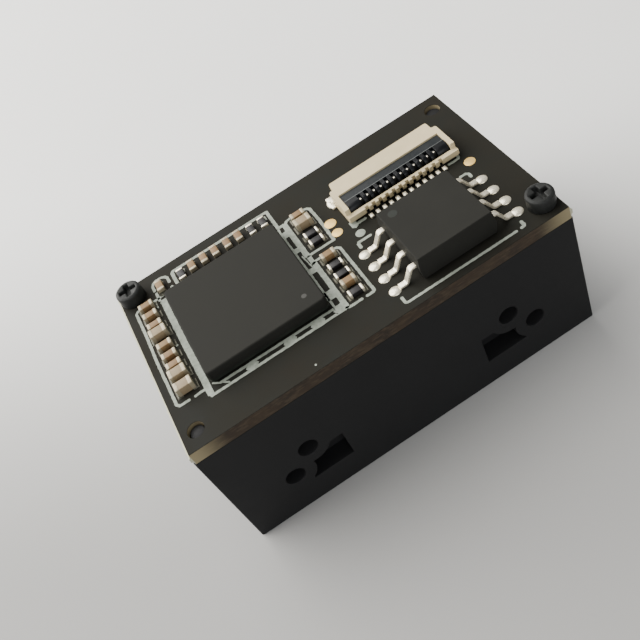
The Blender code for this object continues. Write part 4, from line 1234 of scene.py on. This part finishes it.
@dataclass
class Memory:
    """The memory chip: drafted moulding, gull-wing leads and solder."""

    lead_count: int = 4
    lead_pitch: float = 1.27 * MM
    lead_width: float = 0.39 * MM
    lead_thickness: float = 0.16 * MM
    lead_round: float = 0.035 * MM
    bend: float = 0.24 * MM
    body_half: float = 2.64 * MM
    body_half_y: float = 2.615 * MM
    draft: float = 0.14 * MM
    edge_round: float = 0.05 * MM
    foot: float = 0.62 * MM
    lead_root: float = 0.3 * MM
    lead_shoulder: float = 0.16 * MM
    lead_fall: float = 12.0
    toe_gap: float = 0.02 * MM
    blob: Place = (0.4 * MM, 0.36 * MM, 0.13 * MM)
    blob_out: float = 0.3 * MM
    mark: Place = (-1.75 * MM, 1.72 * MM, 0.3 * MM)
    mark_height: float = 0.004 * MM
    clearance: float = 0.08 * MM

    def __post_init__(self) -> None:
        """Reads the chip's place from the frame."""
        self.low, self.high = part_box("flash_memory")
        self.centre = (self.low + self.high) / 2
        self.under = self.low.z + self.clearance
        self.middle = (self.under + self.high.z) / 2

    def build(self, palette: Palette) -> None:
        """Makes the chip in place of its node.

        Args:
            palette: The module's materials.
        """
        finished("memory_body", self.body(), palette.epoxy, stands_for=("flash_memory",))
        x, y, radius = self.mark
        top = self.high.z - self.mark_height / 2
        rim = top + self.mark_height
        profile = [(0, top), (radius, top), (radius, rim), (0, rim)]
        mark = lathe(profile, (self.centre.x + x, self.centre.y + y), MARK_STEPS)
        finished("memory_pin_mark", mark, palette.substrate)
        for side, first in ((-1, 1), (1, 1 + self.lead_count)):
            for index in range(self.lead_count):
                number = first + index
                y = self.centre.y + (index - (self.lead_count - 1) / 2) * self.lead_pitch
                finished(f"memory_lead_{number}", self.lead(side, y), palette.tin)
                toe = self.centre.x + side * (self.high.x - self.low.x) / 2
                place = (toe + side * self.blob_out, y, self.low.z - SOLDER_SINK)
                drop = dome(place, self.blob[:2], self.blob[2])
                finished(f"memory_solder_{number}", drop, palette.solder, sharp=60)

    def body(self) -> Shape:
        """The moulding, widest at the leads.

        Returns:
            The shape.
        """
        mesh = block(
            (self.centre.x - self.body_half, self.centre.y - self.body_half_y, self.under),
            (self.centre.x + self.body_half, self.centre.y + self.body_half_y, self.high.z),
        )
        corners = list(mesh.verts)
        bmesh.ops.bisect_plane(
            mesh, geom=[*mesh.verts, *mesh.edges, *mesh.faces], plane_co=(0, 0, self.middle),
            plane_no=(0, 0, 1),
        )
        for vert in corners:
            vert.co.x -= math.copysign(self.draft, vert.co.x - self.centre.x)
            vert.co.y -= math.copysign(self.draft, vert.co.y - self.centre.y)
        round_edges(mesh, self.edge_round, 3, 30.0)
        return mesh

    def lead(self, side: int, y: float) -> Shape:
        """One gull-wing lead: a ribbon swept round its two bends.

        Args:
            side: 1 for the right row, -1 for the left one.
            y: The lead's place along its row.

        Returns:
            The shape.
        """
        toe = (self.high.x - self.low.x) / 2
        foot_z = self.low.z + self.lead_thickness / 2
        top_z = self.middle
        shoulder = self.body_half + self.lead_shoulder
        drop = toe - self.foot
        fall = self.lead_fall
        path = [(self.body_half - self.lead_root, top_z)]
        path += arc((shoulder, top_z - self.bend), self.bend, 90, fall, 6)
        path += arc((drop + self.bend, foot_z + self.bend), self.bend, 180 + fall, 270, 6)
        path.append((toe - self.toe_gap, foot_z))
        mesh = bmesh.new()
        ends = [
            mesh.verts.new((self.centre.x + side * path[0][0], y + way * self.lead_width / 2, path[0][1]))
            for way in (-1, 1)
        ]
        edge = mesh.edges.new(ends)
        for (x, z), (next_x, next_z) in zip(path, path[1:]):
            grown = bmesh.ops.extrude_edge_only(mesh, edges=[edge])["geom"]
            edge = next(item for item in grown if isinstance(item, bmesh.types.BMEdge))
            step = (side * (next_x - x), 0, next_z - z)
            bmesh.ops.translate(mesh, verts=list(edge.verts), vec=step)
        bmesh.ops.recalc_face_normals(mesh, faces=mesh.faces)
        if sum(face.normal.z for face in mesh.faces) < 0:
            bmesh.ops.reverse_faces(mesh, faces=mesh.faces)
        for vert in mesh.verts:
            vert.normal_update()
        shift = [(vert, vert.normal.copy()) for vert in mesh.verts]
        for vert, normal in shift:
            vert.co += normal * self.lead_thickness / 2
        bmesh.ops.solidify(mesh, geom=list(mesh.faces), thickness=self.lead_thickness)
        bmesh.ops.recalc_face_normals(mesh, faces=mesh.faces)
        round_edges(mesh, self.lead_round, 2, 50.0)
        return mesh


def carved(mesh: Shape, cutter: Shape) -> Shape:
    """Cuts one closed shape out of another.

    Args:
        mesh: The shape that is cut, which is freed.
        cutter: The shape that cuts, which is freed.

    Returns:
        The cut shape.
    """
    pair = []
    for name, shape in (("stock", mesh), ("cutter", cutter)):
        bmesh.ops.recalc_face_normals(shape, faces=shape.faces)
        data = bpy.data.meshes.new(name)
        shape.to_mesh(data)
        shape.free()
        obj = bpy.data.objects.new(name, data)
        bpy.context.scene.collection.objects.link(obj)
        pair.append(obj)
    stock, tool = pair
    cut = stock.modifiers.new("cut", "BOOLEAN")
    cut.operation = "DIFFERENCE"
    cut.solver = "EXACT"
    cut.object = tool
    graph = bpy.context.evaluated_depsgraph_get()
    result = bmesh.new()
    result.from_mesh(stock.evaluated_get(graph).to_mesh())
    for obj in pair:
        data = obj.data
        bpy.data.objects.remove(obj)
        bpy.data.meshes.remove(data)
    return result


class ChipKind(Enum):
    """The two kinds of small chip."""

    CAPACITOR = "capacitor"
    RESISTOR = "resistor"


@dataclass
class SmallChip:
    """A chip capacitor or resistor: its body, its plated ends and its solder."""

    node: str
    kind: ChipKind
    end_share: float = 0.23
    resistor_end_share: float = 0.17
    end_proud: float = 0.015 * MM
    body_round: float = 0.03 * MM
    end_round: float = 0.05 * MM
    fillet_reach: float = 0.12 * MM
    fillet_share: float = 0.5
    fillet_narrowing: float = 0.22
    fillet_sink: float = 0.02 * MM
    pad_margin: float = 0.04 * MM
    pad_thickness: float = 0.02 * MM

    def build(self, palette: Palette) -> None:
        """Makes the chip in place of its node.

        Args:
            palette: The module's materials.
        """
        low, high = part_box(self.node)
        centre = (low + high) / 2
        size = high - low
        lengthwise = size.x > size.y
        length, width = (size.x, size.y) if lengthwise else (size.y, size.x)
        half = Vector((length / 2, width / 2, size.z / 2))
        inset = Vector((self.end_proud, self.end_proud, self.end_proud))
        body = block(-half + inset, half - inset, self.body_round)
        ends = bmesh.new()
        reach = self.end() * length
        for side in (-1, 1):
            inner, outer = side * (half.x - reach), side * half.x
            low_end = (min(inner, outer), -half.y, -half.z)
            high_end = (max(inner, outer), half.y, half.z)
            add_to(ends, block(low_end, high_end, self.end_round, 3))
        solder = bmesh.new()
        for side in (-1, 1):
            add_to(solder, self.fillet(side, half))
        turn = Matrix.Identity(4) if lengthwise else Matrix.Rotation(math.pi / 2, 4, "Z")
        place = Matrix.Translation(centre) @ turn
        for mesh in (body, ends, solder):
            bmesh.ops.transform(mesh, matrix=place, verts=mesh.verts)
        ceramic = self.kind is ChipKind.CAPACITOR
        finished(
            f"{self.node}_body", body, self.body_material(palette),
            stands_for=(self.node,),
        )
        finished(f"{self.node}_ends", ends, palette.terminal if ceramic else palette.tin)
        # the fillets take the solder darkened as painted shade
        finished(f"{self.node}_solder", solder, palette.shaded_solder, sharp=60)

    def end(self) -> float:
        """The share of the length that each plated end covers."""
        return self.end_share if self.kind is ChipKind.CAPACITOR else self.resistor_end_share

    def body_material(self, palette: Palette) -> bpy.types.Material:
        """The body's material: glaze, or a ceramic that is paler on the larger capacitors."""
        if self.kind is ChipKind.RESISTOR:
            return palette.glaze
        return palette.pale_ceramic if "large" in self.node else palette.ceramic

    def fillet(self, side: int, half: Vector) -> Shape:
        """The solder that climbs one end, with a hollow slope, on its pad.

        Args:
            side: The end, 1 or -1.
            half: Half the chip's length, width and height.

        Returns:
            The shape.
        """
        climb = 2 * half.z * self.fillet_share
        foot = -half.z - SOLDER_SINK
        pad_top = foot + self.pad_thickness
        toe, crest = half.x + self.fillet_reach, foot + climb
        slope = [
            (toe + x * self.fillet_reach, crest + z * climb) for x, z in arc((0, 0), 1.0, 270, 180, 5)
        ]
        inner = half.x * (1 - 2 * self.end()) + self.pad_margin
        wall = half.x - self.fillet_sink
        points = [(inner, foot), (toe + self.pad_margin, foot), (toe + self.pad_margin, pad_top)]
        points += [*slope, (wall, crest), (wall, pad_top), (inner, pad_top)]
        mesh = bmesh.new()
        width = half.y + self.pad_margin
        face = mesh.faces.new([mesh.verts.new((side * x, -width, z)) for x, z in points])
        grown = bmesh.ops.extrude_face_region(mesh, geom=[face])["geom"]
        far = [item for item in grown if isinstance(item, bmesh.types.BMVert)]
        bmesh.ops.translate(mesh, verts=far, vec=(0, 2 * width, 0))
        for vert in mesh.verts:
            up = min(1.0, max(0.0, (vert.co.z - foot) / climb))
            vert.co.y *= 1 - self.fillet_narrowing * up**0.5
        return mesh


# ------------------------------------------------------------ the connector


@dataclass
class Connector:
    """The flat-cable connector: insulator, latch, contacts, and solder tabs with foot, wing and post."""

    insulator_round: float = 0.03 * MM
    corner_round: float = 0.14 * MM
    corner_share: float = 0.8
    corner_reach: float = 0.8 * MM
    undercut: Point = (0.24 * MM, 0.26 * MM)
    latch_round: float = 0.035 * MM
    contact_round: float = 0.02 * MM
    contact_count: int = 12
    joint: Place = (0.135 * MM, 0.4 * MM, 0.15 * MM)
    joint_round: float = 0.05 * MM
    hook_growth: Point = (0.08 * MM, 0.05 * MM)
    tip: tuple[float, float, float, float] = (0.05 * MM, 0.07 * MM, 0.12 * MM, 0.015 * MM)
    tip_round: float = 0.01 * MM
    tab_arm: float = 0.33 * MM
    tab_setback: float = 0.75 * MM
    tab_ends: Point = (0.47 * MM, 0.7 * MM)
    tab_reach: float = 0.3 * MM
    tab_thickness: float = 0.15 * MM
    tab_sink: float = 0.016 * MM
    tab_gap: float = 0.02 * MM
    foot_start: float = 0.04 * MM
    wing_gap: float = 0.01 * MM
    wing_overlap: float = 0.1 * MM
    post: Point = (0.14 * MM, 0.5 * MM)
    post_ends: Point = (0.06 * MM, 0.05 * MM)
    tab_round: float = 0.03 * MM
    tab_drop: Place = (0.24 * MM, 0.42 * MM, 0.17 * MM)
    tab_drop_out: float = 0.2 * MM

    def build(self, palette: Palette) -> None:
        """Makes the connector in place of its nodes.

        Args:
            palette: The module's materials.
        """
        low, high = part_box("ffc_housing")
        under = block(
            (low.x - MM, low.y - MM, low.z - MM),
            (high.x + MM, low.y + self.undercut[0], low.z + self.undercut[1]),
        )
        shell = carved(copied("ffc_housing"), under)
        round_edges(shell, self.corner_round, 3, 60.0, self.is_back_corner)
        round_edges(shell, self.insulator_round, 2, 40.0)
        finished("connector_insulator", shell, palette.cream, stands_for=("ffc_housing",))
        latch = copied("ffc_latch")
        round_edges(latch, self.latch_round, 2, 40.0)
        finished(
            "connector_latch", latch, palette.latch, Body.LATCH, stands_for=("ffc_latch",)
        )
        for number in range(1, self.contact_count + 1):
            self.build_contact(palette, number)
        for name, side in (("left", -1), ("right", 1)):
            self.build_tab(palette, name, side)

    def build_contact(self, palette: Palette, number: int) -> None:
        """Makes one contact, with a hook that fills the latch's slot, its tip and its solder.

        Args:
            palette: The module's materials.
            number: The contact's number, from 1.
        """
        node = f"ffc_contact_{number:02d}"
        contact = copied(node)
        low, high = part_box(node)
        middle = (low.x + high.x) / 2
        forward, up = self.hook_growth
        hook = [vert for vert in contact.verts if vert.co.z > high.z - MERGE]
        rear = min(vert.co.y for vert in hook)
        for vert in hook:
            vert.co.z += up
            if vert.co.y > rear + MERGE:
                vert.co.y += forward
        round_edges(contact, self.contact_round, 2, 40.0)
        # the contact takes the tin darkened as painted shade
        finished(f"contact_{number:02d}", contact, palette.shaded_tin, stands_for=(node,))
        half, start, length, height = self.tip
        tip = block(
            (middle - half, rear + start, high.z + up - height),
            (middle + half, rear + start + length, high.z + up + height), self.tip_round,
        )
        finished(f"contact_tip_{number:02d}", tip, palette.tin)
        half, length, height = self.joint
        joint = block(
            (middle - half, low.y, low.z - SOLDER_SINK),
            (middle + half, low.y + length, low.z + height), self.joint_round, 3,
        )
        finished(f"contact_solder_{number:02d}", joint, palette.solder)

    def is_back_corner(self, edge: bmesh.types.BMEdge) -> bool:
        """Whether an edge is an upright outer corner at the cable mouth."""
        low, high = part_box("ffc_housing")
        first, second = (vert.co for vert in edge.verts)
        upright = (first - second).xy.length < MERGE
        tall = abs(first.z - second.z) > self.corner_share * (high.z - low.z)
        return upright and tall and first.y > high.y - self.corner_reach

    def build_tab(self, palette: Palette, name: str, side: int) -> None:
        """Makes one solder tab beside the cable mouth, with its drop of solder.

        Args:
            palette: The module's materials.
            name: The side's name.
            side: 1 for the right tab, -1 for the left one.
        """
        low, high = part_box("ffc_housing")
        wall = high.x if side > 0 else low.x
        arm = wall - side * self.tab_arm
        tip = wall + side * self.tab_reach
        start = high.y - self.tab_setback
        front, rear = start - self.tab_ends[0], start + self.tab_ends[1]
        base = low.z - self.tab_sink
        top = base + self.tab_thickness
        post_x = arm + side * self.post[0]
        post_near, post_far = start + self.post_ends[0], rear - self.post_ends[1]
        tab = bmesh.new()
        for inner, outer, near, far, height in (
            (arm + side * self.tab_gap, tip, start + self.foot_start, rear, top),
            (wall + side * self.wing_gap, tip, front, start + self.wing_overlap, top),
            (arm + side * self.tab_gap, post_x, post_near, post_far, low.z + self.post[1]),
        ):
            x = sorted((inner, outer))
            add_to(tab, block((x[0], near, base), (x[1], far, height), self.tab_round))
        finished(f"connector_tab_{name}", tab, palette.tin)
        place = (wall + side * self.tab_drop_out, (front + rear) / 2, base)
        drop = dome(place, self.tab_drop[:2], self.tab_drop[2])
        finished(f"connector_tab_solder_{name}", drop, palette.solder, sharp=60)


# --------------------------------------------------------------- the optics


@dataclass
class Optics:
    """The window, the receiver, the emitter and the light source, seen from the front."""

    edge_round: float = 0.06 * MM
    lens_steps: int = 64
    lens_bulge: float = 0.28 * MM
    ridge_count: int = 6
    ridge_depth: float = 0.09 * MM
    chamfer: float = 0.12 * MM
    play: float = 0.03 * MM
    seat_step: float = 0.3 * MM
    stop_radius: float = 1.2 * MM
    lip: float = 0.02 * MM

    def build(self, palette: Palette) -> None:
        """Makes the optics in place of their nodes, and dresses those that stay.

        Args:
            palette: The module's materials.
        """
        pane = copied("front_window")
        round_edges(pane, self.edge_round, 2, 40.0)
        finished("window_pane", pane, palette.window, stands_for=("front_window",))
        for node in ("front_lens", "rear_lens", "emitter_lens"):
            finished(f"{node}_ground", self.lens(node), palette.lens, stands_for=(node,))
        finished(
            "barrel_with_baffles", self.barrel(), palette.optics,
            stands_for=("lens_barrel",),
        )
        holder = copied("lens_holder")
        round_edges(holder, self.edge_round, 2, 40.0)
        finished("holder_moulding", holder, palette.optics, stands_for=("lens_holder",))
        for node, material in (
            ("window_gasket", palette.rubber), ("ir_filter", palette.filter),
            ("image_sensor", palette.silicon), ("emitter_tube", palette.optics),
            ("emitter_diode", palette.diode), ("illumination_led", palette.led),
            ("light_pipe", palette.pipe),
        ):
            dress(node, material)

    def lens(self, node: str) -> Shape:
        """A lens with two domed faces and a ground edge.

        Args:
            node: The lens's node.

        Returns:
            The shape.
        """
        low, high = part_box(node)
        radius = (high.x - low.x) / 2
        ball = (radius**2 + self.lens_bulge**2) / (2 * self.lens_bulge)
        tilt = math.degrees(math.asin(radius / ball))
        front = arc((0, low.z + ball), ball, -90, tilt - 90, 10)
        back = arc((0, high.z - ball), ball, 90 - tilt, 90, 10)
        front[0], back[-1] = (0.0, low.z), (0.0, high.z)
        centre = (low + high) / 2
        return lathe(front + back, (centre.x, centre.y), self.lens_steps)

    def barrel(self) -> Shape:
        """The lens barrel, chamfered, with light-trapping ridges in front of the lens.

        Returns:
            The shape.
        """
        low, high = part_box("lens_barrel")
        front_low, front_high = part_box("front_lens")
        rear_low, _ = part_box("rear_lens")
        outer = (high.x - low.x) / 2
        front_seat = (front_high.x - front_low.x) / 2 + self.play
        rear_seat = front_seat - self.seat_step
        profile = [
            (outer, low.z + self.chamfer), (outer, high.z - self.chamfer),
            (outer - self.chamfer, high.z), (rear_seat, high.z), (rear_seat, rear_low.z - self.play),
            (self.stop_radius, rear_low.z - self.play), (self.stop_radius, front_high.z + self.play),
            (front_seat, front_high.z + self.play),
        ]
        span = front_low.z - self.play - low.z
        for ridge in range(self.ridge_count, 0, -1):
            foot = low.z + span * ridge / self.ridge_count
            profile.append((front_seat, foot))
            profile.append((front_seat + self.ridge_depth, foot - span / self.ridge_count / 2))
        profile += [(front_seat, low.z + self.lip), (front_seat + self.chamfer, low.z)]
        profile.append((outer - self.chamfer, low.z))
        centre = (low + high) / 2
        return lathe(profile, (centre.x, centre.y), self.lens_steps)


def dress(node: str, material: bpy.types.Material) -> None:
    """Gives a frame node that stays its better material.

    Args:
        node: The node's name.
        material: The material.
    """
    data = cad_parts[node].data
    data.materials.clear()
    data.materials.append(material)
    log.info("%s: dressed", node)


# ------------------------------------------------------------------ the set


@dataclass(frozen=True)
class Lamp:
    """A square soft light that faces the module."""

    name: str
    place: Place
    size: float
    power: float
    colour: Colour

    def build(self) -> None:
        """Makes the light."""
        data = bpy.data.lights.new(self.name, "AREA")
        data.size = self.size
        data.energy = self.power
        data.color = self.colour
        light = bpy.data.objects.new(self.name, data)
        light.location = self.place
        light.rotation_euler = (-Vector(self.place)).to_track_quat("-Z", "Y").to_euler()
        bpy.context.scene.collection.objects.link(light)


@dataclass
class Studio:
    """A pale floor, two soft lights, an even sky and the camera."""

    floor_half: float = 0.6
    floor_gap: float = 0.02 * MM
    lamps: tuple[Lamp, ...] = (
        Lamp("key", (-0.128, 0.128, 0.158), 0.36, 2.9, (1.0, 0.985, 0.955)),
        Lamp("fill", (-0.02, -0.38, 0.16), 0.3, 0.9, (0.95, 0.97, 1.0)),
    )
    sky: Colour = (0.96, 0.98, 1.0)
    sky_strength: float = 0.38
    camera_place: Place = (-0.0044328, -0.0386754, 0.0470968)
    camera_right: Place = (0.8361, -0.44102, -0.32625)
    camera_back: Place = (-0.07614, -0.68226, 0.72713)
    lens: float = 48.71
    sensor: float = 36.0
    clip: Point = (1 * MM, 10.0)
    shift: Point = (-0.0441, -0.0297)

    def build(self) -> None:
        """Makes the floor, the lights and the camera."""
        self.make_floor()
        self.make_sky()
        for lamp in self.lamps:
            lamp.build()
        self.make_camera()

    def make_floor(self) -> None:
        """Makes the pale floor under the module."""
        mesh = bmesh.new()
        bmesh.ops.create_grid(mesh, x_segments=1, y_segments=1, size=self.floor_half)
        data = bpy.data.meshes.new("floor")
        mesh.to_mesh(data)
        mesh.free()
        floor = bpy.data.objects.new("floor", data)
        bpy.context.scene.collection.objects.link(floor)
        floor.location.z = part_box("housing")[0].z - self.floor_gap
        data.materials.append(
            Backdrop(
                "pale_floor", (0.78, 0.775, 0.75), (0.80, 0.795, 0.77), 0.7, rough_spread=0.05,
                blotch=20 * MM, grain=0.4 * MM, depth=0.004 * MM, specular=0.2,
            ).build()
        )

    def make_sky(self) -> None:
        """Makes the even surroundings."""
        world = bpy.data.worlds.new("surroundings")
        bpy.context.scene.world = world
        world.use_nodes = True
        backdrop = world.node_tree.nodes["Background"]
        backdrop.inputs["Color"].default_value = (*self.sky, 1.0)
        backdrop.inputs["Strength"].default_value = self.sky_strength

    def make_camera(self) -> None:
        """Makes the camera, rolled about its own line of sight."""
        data = bpy.data.cameras.new("camera")
        data.lens = self.lens
        data.sensor_width = self.sensor
        data.shift_x, data.shift_y = self.shift
        data.clip_start, data.clip_end = self.clip
        camera = bpy.data.objects.new("camera", data)
        right = Vector(self.camera_right).normalized()
        back = Vector(self.camera_back).normalized()
        up = back.cross(right).normalized()
        right = up.cross(back)
        turn = Matrix((right, up, back)).transposed().to_4x4()
        camera.matrix_world = Matrix.Translation(self.camera_place) @ turn
        bpy.context.scene.collection.objects.link(camera)
        bpy.context.scene.camera = camera


def small_chips() -> list[SmallChip]:
    """Every small chip that the frame holds."""
    return [
        SmallChip(node, kind)
        for kind in ChipKind
        for node in sorted(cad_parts)
        if node.startswith(kind.value)
    ]


def main() -> None:
    """Builds the module's looks in order."""
    logging.basicConfig(level=logging.INFO, format="%(name)s %(message)s")
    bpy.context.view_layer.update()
    palette = Palette()
    assemblies = [
        Housing(), Board(), BoardScrew("board_screw_rear_left"), BoardScrew("board_screw_front_right"),
        Processor(), Memory(), *small_chips(), Connector(), Optics(),
    ]
    for assembly in assemblies:
        assembly.build(palette)
    Studio().build()


if __name__ == "__main__":
    main()
